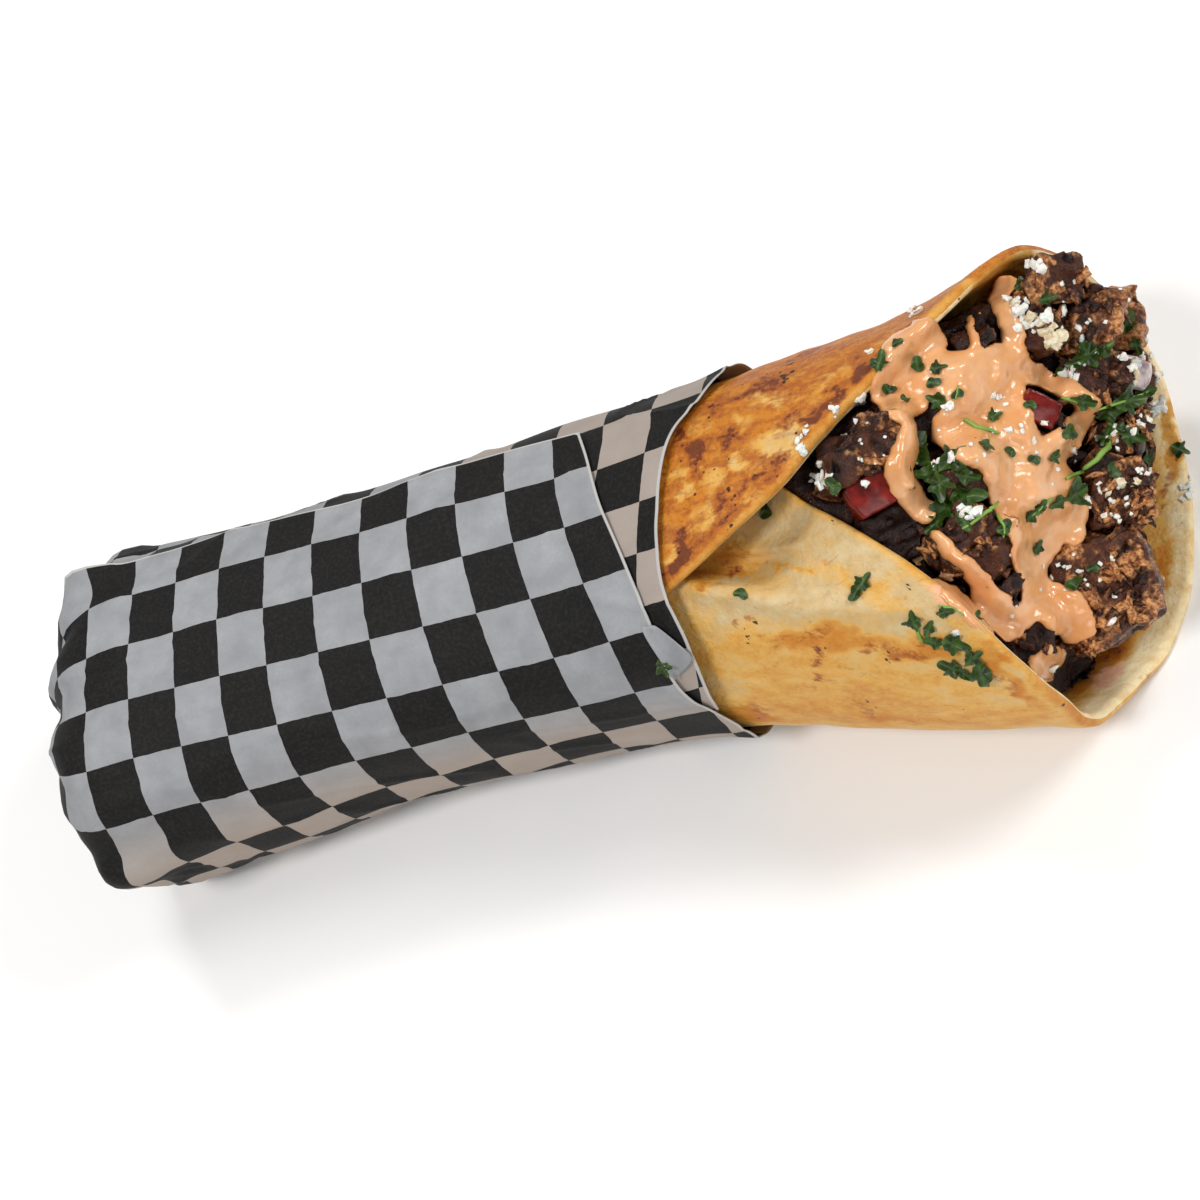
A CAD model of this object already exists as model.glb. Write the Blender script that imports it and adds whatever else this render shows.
import math
import random

import bmesh
import bpy
from mathutils import Matrix, Vector, noise
from mathutils.bvhtree import BVHTree


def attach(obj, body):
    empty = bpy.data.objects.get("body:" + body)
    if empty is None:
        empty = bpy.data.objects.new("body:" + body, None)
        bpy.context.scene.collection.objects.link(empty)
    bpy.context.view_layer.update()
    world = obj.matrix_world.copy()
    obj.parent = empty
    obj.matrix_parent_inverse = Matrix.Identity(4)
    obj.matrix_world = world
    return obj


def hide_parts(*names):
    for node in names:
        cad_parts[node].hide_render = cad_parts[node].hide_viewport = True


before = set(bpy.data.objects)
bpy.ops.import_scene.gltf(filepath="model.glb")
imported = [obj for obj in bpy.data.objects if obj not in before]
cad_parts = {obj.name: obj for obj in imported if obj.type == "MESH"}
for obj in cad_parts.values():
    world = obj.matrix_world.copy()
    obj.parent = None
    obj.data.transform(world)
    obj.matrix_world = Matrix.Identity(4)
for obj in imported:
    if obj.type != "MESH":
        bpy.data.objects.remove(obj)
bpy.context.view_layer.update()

mm = 0.001  # lengths below are in millimetres and angles in degrees, unless a note says otherwise
weldGap = 0.02

wrapForm = {  # the rolled bread's own form, as in the solids: stations run along X from the folded end
    "originStation": 127.2, "originSide": -5.2, "backAngle": 211.7, "squareness": 2.3, "sink": 1.5,
    "paperGap": 0.5, "paperUnder": 0.6, "paperThick": 0.45, "paperFade": (166, 192),
    "endLength": 15.0, "endMiddle": 12.0, "endSlant": 3.5, "endFace": 3.5, "endPower": 2 / 3, "endAngle": 1.0,
    "flapLift": 3.3, "flapRise": (72, 126), "flapEnd": 200, "flapFall": 245,
    "sections": (  # station, half width, half height, sideways centre
        (0, 33.2, 25.7, 3.9), (26, 34.2, 26.6, 3.9), (80, 30.3, 27.0, 4.9), (129, 30.9, 28.1, 3.5),
        (162, 33.1, 31.3, -1.6), (182, 37.0, 33.0, -4.4), (200, 40.7, 33.9, -6.9), (217, 43.0, 34.5, -7.7),
        (250, 43.8, 35.0, -8.3)),
}

photoView = {  # the photograph's viewing angle, and its frame in pixels
    "azimuth": 28.2, "elevation": 55.0, "roll": 16.0, "distance": 480.0, "lens": 70.6, "sensor": 36.0,
    "aimStation": 129.0, "aimSide": 0.0, "aimHeight": 29.95, "frame": 1200,
}

mouthPlace = {  # the middle of the mouth's own frame, and what counts as inside the mouth
    "station": 206.3, "side": -7.8, "height": 34.7, "skins": 4, "within": 1.25,
}


def through(points, x, column=1):  # the smooth curve through a table's rows
    if x <= points[0][0]:
        return points[0][column]
    if x >= points[-1][0]:
        return points[-1][column]
    last = len(points) - 1
    i = max(k for k in range(last) if points[k][0] <= x)
    slopes = []
    for k in (i, i + 1):
        before, after = points[max(k - 1, 0)], points[min(k + 1, last)]
        slopes.append((after[column] - before[column]) / (after[0] - before[0]))
    span = points[i + 1][0] - points[i][0]
    t = (x - points[i][0]) / span
    low, high = points[i][column], points[i + 1][column]
    return ((2 * t**3 - 3 * t**2 + 1) * low + (t**3 - 2 * t**2 + t) * span * slopes[0]
            + (3 * t**2 - 2 * t**3) * high + (t**3 - t**2) * span * slopes[1])


def smoothStep(low, high, x):
    t = min(max((x - low) / (high - low), 0.0), 1.0)
    return t * t * (3 - 2 * t)


def between(rise, fall, x):  # 1 from the rise to the fall, and 0 outside them
    return smoothStep(*rise, x) * (1 - smoothStep(*fall, x))


def bump(x, middle, reach):
    return math.exp(-(((x - middle) / reach) ** 2))


def wallPoint(station, angle, offset, shrink=1.0, lean=0.0, under=None):  # a place on the wrap's wall, in mm
    form = wrapForm
    where = max(station, 0.0)
    wide, high, side = (through(form["sections"], where, column) for column in (1, 2, 3))
    level = form["paperGap"] + form["paperUnder"] + form["paperThick"]
    level *= 1 - smoothStep(*form["paperFade"], where)
    under = offset if under is None else under
    turn = math.radians(form["backAngle"] + angle)
    outY, outZ = -math.sin(turn), math.cos(turn)
    power = form["squareness"]
    radius = ((abs(outY) / wide) ** power + (abs(outZ) / high) ** power) ** (-1 / power)
    reach = radius * shrink + offset * math.sqrt(1 - lean * lean)
    y = side + reach * outY
    z = high + level - form["sink"] + reach * outZ
    x = station - offset * lean
    return Vector((x - form["originStation"], y - form["originSide"], max(z, level - under)))


def endStart(angle, shrink):
    turn = math.radians(angle)
    slant = wrapForm["endSlant"] * math.sin(turn) - wrapForm["endFace"] * math.cos(turn)
    return wrapForm["endMiddle"] + shrink * slant


def endPoint(share, angle, offset, under=None):  # share runs from the folded end's middle to the tube's start
    bend = math.radians(wrapForm["endAngle"] + (90 - wrapForm["endAngle"]) * share)
    shrink = math.sin(bend) ** wrapForm["endPower"]
    along = 1 - abs(math.cos(bend)) ** wrapForm["endPower"]
    station = endStart(angle, shrink) + wrapForm["endLength"] * along
    return wallPoint(station, angle, offset, shrink, math.cos(bend), under)


def flapLift(angle):
    return wrapForm["flapLift"] * smoothStep(*wrapForm["flapRise"], angle)


def viewFrame(azimuth, elevation, roll):  # right, up and back of a view
    azimuth, elevation = math.radians(azimuth), math.radians(elevation)
    level = math.cos(elevation)
    back = Vector((math.sin(azimuth) * level, -math.cos(azimuth) * level, math.sin(elevation)))
    along = (Vector((1, 0, 0)) - back * back.x).normalized()
    right = Matrix.Rotation(-math.radians(roll), 3, back) @ along
    return right, back.cross(right), back


viewRight, viewUp, viewBack = viewFrame(photoView["azimuth"], photoView["elevation"], photoView["roll"])
aim = Vector((photoView["aimStation"] - wrapForm["originStation"],
              photoView["aimSide"] - wrapForm["originSide"], photoView["aimHeight"]))
eye = aim + viewBack * photoView["distance"]
mouthMiddle = Vector((mouthPlace["station"] - wrapForm["originStation"],
                      mouthPlace["side"] - wrapForm["originSide"], mouthPlace["height"]))


def inMouth(x, y, w):  # X right, Y up and W out of the mouth, as the photograph looks into it
    return mouthMiddle + viewRight * x + viewUp * y + viewBack * w


def pixelRay(px, py):  # the direction from the eye through a pixel of the photograph
    long = photoView["lens"] / photoView["sensor"] * photoView["frame"]
    half = photoView["frame"] / 2
    return (viewRight * ((px - half) / long) - viewUp * ((py - half) / long) - viewBack).normalized()


def castPixel(tree, px, py):  # the place and normal that a pixel of the photograph looks at
    return tree.ray_cast(eye, pixelRay(px, py))[:2]


def viewWay(turn):  # a direction across the view, turned up from its right
    return viewRight * math.cos(turn) + viewUp * math.sin(turn)


def pixelOf(place):
    long = photoView["lens"] / photoView["sensor"] * photoView["frame"]
    half = photoView["frame"] / 2
    away = place - eye
    deep = -away.dot(viewBack)
    return half + long * away.dot(viewRight) / deep, half - long * away.dot(viewUp) / deep


def treeOf(objects):  # one search tree over several finished pieces, in mm
    verts, faces = [], []
    for obj in objects:
        base = len(verts)
        verts += [vert.co / mm for vert in obj.data.vertices]
        faces += [[base + k for k in face.vertices] for face in obj.data.polygons]
    return BVHTree.FromPolygons(verts, faces)


def clearSelection():
    if bpy.context.mode != "OBJECT":
        bpy.ops.object.mode_set(mode="OBJECT")
    bpy.ops.object.select_all(action="DESELECT")


def pick(obj):
    clearSelection()
    obj.select_set(True)
    bpy.context.view_layer.objects.active = obj


def named(name):
    obj = bpy.context.view_layer.objects.active
    obj.name = name
    obj.data.name = name
    return obj


def applied(obj, kind, **settings):  # adds a modifier with these settings and applies it
    pick(obj)
    modifier = obj.modifiers.new(kind.lower(), kind)
    for key, value in settings.items():
        setattr(modifier, key, value)
    bpy.ops.object.modifier_apply(modifier=modifier.name)
    return obj


def settle(obj):  # the finished piece's object goes to the origin, unturned and unscaled
    pick(obj)
    bpy.ops.object.transform_apply(location=True, rotation=True, scale=True)
    return obj


def editAll(obj, operator, **settings):  # an edit-mode operator over the whole mesh
    pick(obj)
    bpy.ops.object.mode_set(mode="EDIT")
    bpy.ops.mesh.select_all(action="SELECT")
    operator(**settings)
    bpy.ops.object.mode_set(mode="OBJECT")


def remeshed(obj, voxel, eases=0):  # one even skin over the piece, eased this many times
    applied(obj, "REMESH", mode="VOXEL", voxel_size=voxel * mm, use_smooth_shade=True)
    if eases:
        applied(obj, "SMOOTH", factor=0.5, iterations=eases)
    return obj


def gridPiece(name, columns, rows):  # a flat grid, and the column and row of each of its vertices
    clearSelection()
    bpy.ops.mesh.primitive_grid_add(x_subdivisions=columns, y_subdivisions=rows, size=1)
    obj = named(name)
    return obj, [(round((v.co.x + 0.5) * columns), round((v.co.y + 0.5) * rows)) for v in obj.data.vertices]


def cadCopy(node, name):  # a welded copy of a solid, to shape further
    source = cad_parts[node]
    obj = bpy.data.objects.new(name, source.data.copy())
    bpy.context.scene.collection.objects.link(obj)
    obj.data.name = name
    obj.data.materials.clear()
    editAll(obj, bpy.ops.mesh.remove_doubles, threshold=weldGap * mm)
    return obj


def shadeSmooth(obj, sharpFrom=None):
    pick(obj)
    if sharpFrom:
        bpy.ops.object.shade_smooth_by_angle(angle=math.radians(sharpFrom))
    else:
        bpy.ops.object.shade_smooth()


def twoSkins(obj):  # a second skin on the same places, its vertices after the first's, walled at the rim
    made = bmesh.new()
    made.from_mesh(obj.data)
    bmesh.ops.extrude_face_region(made, geom=made.faces[:], use_keep_orig=True)
    made.to_mesh(obj.data)
    made.free()


def paintPoints(obj, name, values):  # one number for each vertex, for a material to read
    layer = obj.data.attributes.new(name, "FLOAT", "POINT")
    layer.data.foreach_set("value", values)


def finishPiece(obj, material, slotName, *nodes, sharpFrom=None):
    obj.data.materials.clear()
    obj.data.materials.append(material)
    shadeSmooth(obj, sharpFrom)
    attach(obj, "root")
    if nodes:
        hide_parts(*nodes)
    return obj


def linear(hexColour):  # sRGB hex to the linear colour that the shader wants
    parts = [int(hexColour[k:k + 2], 16) / 255 for k in (1, 3, 5)]
    return (*(c / 12.92 if c <= 0.04045 else ((c + 0.055) / 1.055) ** 2.4 for c in parts), 1.0)


def addNode(tree, kind, settings=None, links=None):
    made = tree.nodes.new(kind)
    for key, value in (settings or {}).items():
        if isinstance(key, str) and hasattr(made, key):
            setattr(made, key, value)
        else:
            made.inputs[key].default_value = value
    for key, socket in (links or {}).items():
        tree.links.new(socket, made.inputs[key])
    return made


def newMaterial(name, settings):
    material = bpy.data.materials.new(name)
    material.use_nodes = True
    tree = material.node_tree
    shader = tree.nodes["Principled BSDF"]
    for key, value in settings.items():
        shader.inputs[key].default_value = value
    return material, tree, shader


def inMillimetres(tree, stretch=(1, 1, 1), turn=(0, 0, 0)):  # object coordinates, one unit to the millimetre
    coords = addNode(tree, "ShaderNodeTexCoord")
    scaled = addNode(tree, "ShaderNodeMapping", {"Scale": tuple(s / mm for s in stretch),
                                                 "Rotation": tuple(math.radians(a) for a in turn)},
                     {"Vector": coords.outputs["Object"]})
    return scaled.outputs["Vector"]


def noiseOf(tree, where, size, detail=3.0, rough=0.55, distort=0.0):  # noise with lumps of this size in mm
    made = addNode(tree, "ShaderNodeTexNoise",
                   {"Scale": 1 / size, "Detail": detail, "Roughness": rough, "Distortion": distort},
                   {"Vector": where})
    return made.outputs["Fac"]


def rampOf(tree, value, *stops):  # a grey level for each place along a value
    made = addNode(tree, "ShaderNodeValToRGB", {}, {"Fac": value})
    ramp = made.color_ramp
    while len(ramp.elements) < len(stops):
        ramp.elements.new(0.5)
    for element, (place, level) in zip(ramp.elements, sorted(stops)):
        element.position = place
        element.color = (level, level, level, 1)
    return made.outputs["Color"]


def mixOf(tree, share, first, second):
    made = addNode(tree, "ShaderNodeMix", {"data_type": "RGBA"})
    for key, value in ((0, share), (6, first), (7, second)):
        if isinstance(value, bpy.types.NodeSocket):
            tree.links.new(value, made.inputs[key])
        else:
            made.inputs[key].default_value = linear(value) if isinstance(value, str) else value
    return made.outputs[2]


def mathOf(tree, operation, first, second=None, clamp=False):
    made = addNode(tree, "ShaderNodeMath", {"operation": operation, "use_clamp": clamp})
    for key, value in ((0, first), (1, second)):
        if isinstance(value, bpy.types.NodeSocket):
            tree.links.new(value, made.inputs[key])
        elif value is not None:
            made.inputs[key].default_value = value
    return made.outputs[0]


def plusPart(tree, first, second, share):  # the first value with this share of the second
    return mathOf(tree, "ADD", first, mathOf(tree, "MULTIPLY", second, share))


def painted(tree, name):
    return addNode(tree, "ShaderNodeAttribute", {"attribute_name": name}).outputs["Fac"]


def bumpOf(tree, height, strength, depth):
    return addNode(tree, "ShaderNodeBump", {"Strength": strength, "Distance": depth * mm},
                   {"Height": height}).outputs["Normal"]


paper = {  # the sheet, wound round the wrap from its start angle to its end angle
    "columns": 340, "endRows": 14, "tubeRows": 100, "thick": 0.16, "middle": 0.24, "turn": 0.8,
    "start": 111.0, "end": 591.0, "radius": 30.0, "square": 10.35,
    # station, and the angle at which the sheet's outer edge ends there
    "freeEdge": ((30, 111), (60, 112), (75, 115), (86, 117), (108, 117.5), (119, 118), (130, 119.5),
                 (140, 122.5), (150, 124)),
    "ears": (  # crumpled corners of the folded end: run, angle, reach along and round, outward, endward
        (0.86, 109, 0.16, 7, 2.6, 3.4), (0.62, 121, 0.12, 6, 0.8, 0.6), (0.30, 140, 0.2, 9, 0.5, 0.8),
        (0.9, 229, 0.2, 9, 3.2, 2.4), (0.98, 268, 0.14, 7, 1.8, 0.8), (0.7, 196, 0.3, 14, 0.8, 0.8),
        (0.9, 84, 0.2, 9, 1.6, 1.0)),
    "rim": ((111, 137.5), (131, 140.5), (151, 142.5), (171, 145.5), (191, 147.5), (211, 148), (231, 151.5),
            (250, 154), (285, 155.5), (310, 159), (390, 168), (420, 171), (445, 172), (462, 170), (481, 165),
            (491, 160), (501, 157), (521, 154), (541, 152), (561, 153.5), (591, 152)),
    "wrinkleSize": 24.0, "wrinkle": 0.9, "crease": 0.55, "endCrumple": 1.7, "pleats": 11, "pleatDepth": 1.3,
    "flatUnder": (-0.95, -0.5), "crumpledTo": (24, 44),
    "freeLift": 0.8, "freeReach": 5, "rimLift": 0.45, "rimReach": 4,
    "oilUnder": ((205, 235), (310, 350), 0.6), "oilInside": ((430, 445), (95, 120), 0.55),
}

checkPrint = {  # how the check runs on the sheet: its places round the wrap are arcs in mm from the free edge
    "firstRow": 10.3, "lean": 0.05, "leanFrom": 50, "leanFade": (60, 150), "evenRows": 4,
    "foldArc": 66, "foldRow": 5, "turnRow": 18, "pastTurn": 7, "backSquare": 8.6,
    "fan": ((12, 56), (90, 170)), "middle": 66.6, "middleShift": 2.6, "middleColumn": 4,
    "turnLean": 0.28, "endSquare": 10.1, "tubeSquare": 10.46, "fanWidens": 1.3,
    "leastStation": 27, "offset": 1.5,
}


def paperWrinkle(station, angle, run):  # outward, and the same in both turns, so the layers stay in order
    turn = math.radians(angle)
    size = paper["wrinkleSize"]
    girth = paper["radius"] / size
    place = Vector((station / size, girth * math.cos(turn), girth * math.sin(turn)))
    soft = 0.5 + noise.noise(place) * 0.9
    long = Vector((place.x * 0.7, place.y * 2.2, place.z * 2.2))
    crease = max(1 - 5 * abs(noise.noise(long + Vector((4, 1, 7)))), 0) ** 2
    above = smoothStep(*paper["flatUnder"], math.cos(math.radians(wrapForm["backAngle"] + angle)))
    nearEnd = 1 - smoothStep(*paper["crumpledTo"], station)
    facet = noise.noise(place * 2.4 + Vector((9, 2, 3)))
    facet -= 0.8 * abs(noise.noise(place * 3.6 + Vector((1, 5, 3))))
    pleat = abs(math.sin(math.radians(angle) * paper["pleats"] / 2 + 2 * noise.noise(place * 1.7)))
    high = paper["wrinkle"] * soft + paper["crease"] * crease
    high += nearEnd * paper["endCrumple"] * (0.4 + facet)
    if run < 1:
        high += paper["pleatDepth"] * (pleat - 0.3) * math.sin(math.pi * min(run + 0.15, 1)) ** 0.5
    return max(above * high, 0)


def paperPoint(run, angle):  # run is 0 to 1 over the folded end, then 1 to 2 along the tube
    around = angle % 360
    overFlap = flapLift(around) * (1 - smoothStep(wrapForm["flapEnd"], wrapForm["flapFall"], around))
    rim = through(paper["rim"], angle)
    start = endStart(angle, 1) + wrapForm["endLength"]
    station = start + (rim - start) * (run - 1) if run > 1 else start - (1 - run) * wrapForm["endLength"]
    offset = wrapForm["paperGap"] + overFlap + paper["turn"] * (paper["end"] - angle) / 360 + paper["middle"]
    offset += paperWrinkle(station, angle, run)
    offset += paper["freeLift"] * bump(angle, through(paper["freeEdge"], station), paper["freeReach"])
    if run > 1:
        waver = 0.6 + noise.noise(Vector((angle / 16, 3, 0)))
        offset += paper["rimLift"] * bump(station, rim, paper["rimReach"]) * waver
    endward = 0.0
    for earRun, earAngle, reachRun, reachAngle, out, along in paper["ears"]:
        share = bump(run, earRun, reachRun) * bump(around, earAngle, reachAngle)
        offset += out * share
        endward += along * share
    under = wrapForm["paperGap"] + wrapForm["paperUnder"] + paper["middle"]
    place = endPoint(run, angle, offset, under) if run <= 1 else wallPoint(station, angle, offset, under=under)
    place.x -= endward
    return place, station


def checkRow(arc, turnArc, station):  # which row of the check lies this far round the sheet
    check = checkPrint
    leanShare = 1 - smoothStep(*check["leanFade"], arc)
    first = check["firstRow"] + check["lean"] * (station - check["leanFrom"]) * leanShare
    knots = ((first, 0), (first + check["evenRows"] * paper["square"], check["evenRows"]),
             (check["foldArc"], check["foldRow"]), (turnArc + check["pastTurn"], check["turnRow"]))
    for (low, rowLow), (high, rowHigh) in zip(knots, knots[1:]):
        if arc <= high:
            return rowLow + (rowHigh - rowLow) * (arc - low) / (high - low)
    return check["turnRow"] + (arc - turnArc - check["pastTurn"]) / check["backSquare"]


def checkColumn(arc, turnArc, station):  # which column lies there: the columns fan out a little over the front
    check = checkPrint
    fan = between(*check["fan"], arc)
    middle = check["middle"] - check["middleShift"] * fan
    if arc > turnArc:
        station += check["turnLean"] * max(arc - turnArc - check["pastTurn"], 0)
    square = check["endSquare"] if station < middle else check["tubeSquare"] + check["fanWidens"] * fan
    return check["middleColumn"] + (station - middle) / square


def dress(tree, shader, colour, relief=None, roughness=None):  # links a material's results to its shader
    for socket, value in (("Base Color", colour), ("Normal", relief), ("Roughness", roughness)):
        if value is not None:
            tree.links.new(value, shader.inputs[socket])


def checkedDeliPaper():  # greaseproof deli paper with a printed check: matt, fibrous, a little cloudy
    material, tree, shader = newMaterial("checkedDeliPaper", {"Roughness": 0.7, "Specular IOR Level": 0.2})
    squares = addNode(tree, "ShaderNodeUVMap", {"uv_map": "checks"})
    where = inMillimetres(tree)
    wobble = addNode(tree, "ShaderNodeTexNoise", {"Scale": 1 / 3.0, "Detail": 2}, {"Vector": where})
    shifted = addNode(tree, "ShaderNodeMix", {"data_type": "VECTOR", "Factor": 0.035},
                      {4: squares.outputs["UV"], 5: wobble.outputs["Color"]})
    lifted = addNode(tree, "ShaderNodeVectorMath", {"operation": "ADD", 1: (0.0, 0.0, 0.25)},
                     {0: shifted.outputs[1]})
    check = addNode(tree, "ShaderNodeTexChecker", {"Scale": 1.0}, {"Vector": lifted.outputs["Vector"]})
    cloud = noiseOf(tree, where, 7, 4)
    fibre = noiseOf(tree, where, 0.7, 3, 0.7)
    light = mixOf(tree, rampOf(tree, cloud, (0.3, 0.0), (0.7, 1.0)), "#898A8C", "#9D9EA0")
    light = mixOf(tree, rampOf(tree, fibre, (0.35, 0.0), (0.75, 0.35)), light, "#84848A")
    dark = mixOf(tree, rampOf(tree, fibre, (0.45, 0.0), (0.85, 0.8)), "#111010", "#2F2C28")
    light = mixOf(tree, painted(tree, "oiled"), light, "#A8937F")
    shaded = mixOf(tree, check.outputs["Fac"], light, dark)
    shaded = mixOf(tree, rampOf(tree, painted(tree, "bare"), (0.45, 0.0), (0.6, 1.0)), shaded, "#B4B2AE")
    dress(tree, shader, shaded, bumpOf(tree, plusPart(tree, fibre, cloud, 2.0), 0.35, 0.12))
    return material


def oiledShare(angle, station):  # the underside and the inner turn took up a little oil, which warms them
    *underAngles, underShare = paper["oilUnder"]
    innerAngles, innerStations, innerShare = paper["oilInside"]
    inner = smoothStep(*innerAngles, angle) * smoothStep(*innerStations, station)
    return underShare * between(*underAngles, angle) + innerShare * inner


def makePaper(material):
    columns, rows = paper["columns"], paper["endRows"] + paper["tubeRows"]
    obj, keys = gridPiece("paperSheet", columns, rows)
    least, offset = checkPrint["leastStation"], checkPrint["offset"]
    runs = [row / paper["endRows"] for row in range(paper["endRows"])]
    runs += [1 + row / paper["tubeRows"] for row in range(paper["tubeRows"] + 1)]
    turnColumn = round(columns * 360 / (paper["end"] - paper["start"]))
    places, stations, arcs = {}, {}, {}
    for row, run in enumerate(runs):
        rest = paperPoint(run, paper["start"])[1]
        edge = through(paper["freeEdge"], rest)
        arc, before = 0.0, wallPoint(max(rest, least), paper["start"], offset)
        for column in range(columns + 1):
            angle = edge + (paper["end"] - edge) * column / columns
            place, station = paperPoint(run, angle)
            smooth = wallPoint(max(station, least), angle, offset)
            arc += math.hypot(smooth.y - before.y, smooth.z - before.z)
            before = smooth
            places[column, row], stations[column, row], arcs[column, row] = place, station, arc
    checks = {}
    for column in range(columns + 1):
        path = 0.0
        for row in range(rows, -1, -1):
            station = stations[column, max(row, paper["endRows"])]
            if row < paper["endRows"]:
                path += (places[column, row] - places[column, row + 1]).length
            arc, turnArc = arcs[column, row], arcs[turnColumn, row]
            checks[column, row] = (checkColumn(arc, turnArc, station) - path / paper["square"],
                                   checkRow(arc, turnArc, station))
    uvs = obj.data.uv_layers.active
    uvs.name = "checks"
    for loop in obj.data.loops:
        uvs.data[loop.index].uv = checks[keys[loop.vertex_index]]
    oiled, bare = [], []
    for vert, key in zip(obj.data.vertices, keys):
        vert.co = places[key] * mm
        bare.append(1.0 if key[0] == 0 or key[1] == rows else 0.0)  # the cut edge shows the paper's white
        angle = paper["start"] + (paper["end"] - paper["start"]) * key[0] / columns
        oiled.append(oiledShare(angle, stations[key]))
    paintPoints(obj, "oiled", oiled)
    paintPoints(obj, "bare", bare)
    applied(obj, "SOLIDIFY", thickness=paper["thick"] * mm, offset=0.0)
    finishPiece(obj, material, "paper", "paper_wrap", sharpFrom=50)
    print("paper:", len(obj.data.polygons), "faces")
    return obj


tornCorner = {  # the sheet's torn corner, turned over the rim: its two long edges in the photograph
    "near": ((640, 627), (647, 641), (655, 653), (664, 666), (674, 681)),
    "far": ((655, 625), (671, 638), (685, 650), (695, 659), (682, 671)),
    "across": 5, "lift": 0.7, "curl": 0.9, "thick": 0.2,
}


def makeTornCorner(carriers, material):
    tree = treeOf(carriers)
    rows, across = len(tornCorner["near"]), tornCorner["across"]
    verts, faces, lifts = [], [], []
    for near, far in zip(tornCorner["near"], tornCorner["far"]):
        for k in range(across + 1):
            share = k / across
            px, py = (near[axis] + (far[axis] - near[axis]) * share for axis in (0, 1))
            lifts.append(tornCorner["lift"] + tornCorner["curl"] * share * share)
            verts.append(castPixel(tree, px, py)[0])
    depths = [vert.dot(viewBack) for vert in verts]
    for _ in range(2):
        depths = [max(depth, sum(depths[max(k - 1, 0):k + 2]) / len(depths[max(k - 1, 0):k + 2]))
                  for k, depth in enumerate(depths)]
    verts = [vert + viewBack * (depth - vert.dot(viewBack) + lift)
             for vert, depth, lift in zip(verts, depths, lifts)]
    for row in range(rows - 1):
        for k in range(across):
            base = row * (across + 1) + k
            faces.append((base, base + 1, base + across + 2, base + across + 1))
    obj = meshPiece("tornPaperCorner", verts, faces)
    uvs = obj.data.uv_layers.new(name="checks")
    for loop in obj.data.loops:
        row, k = divmod(loop.vertex_index, across + 1)
        uvs.data[loop.index].uv = (0.2 + 0.6 * k / across, 0.2 + 0.6 * row / rows)
    applied(obj, "SUBSURF", levels=2, render_levels=2)
    applied(obj, "SOLIDIFY", thickness=tornCorner["thick"] * mm, offset=0.0)
    return finishPiece(obj, material, "paper")


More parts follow.
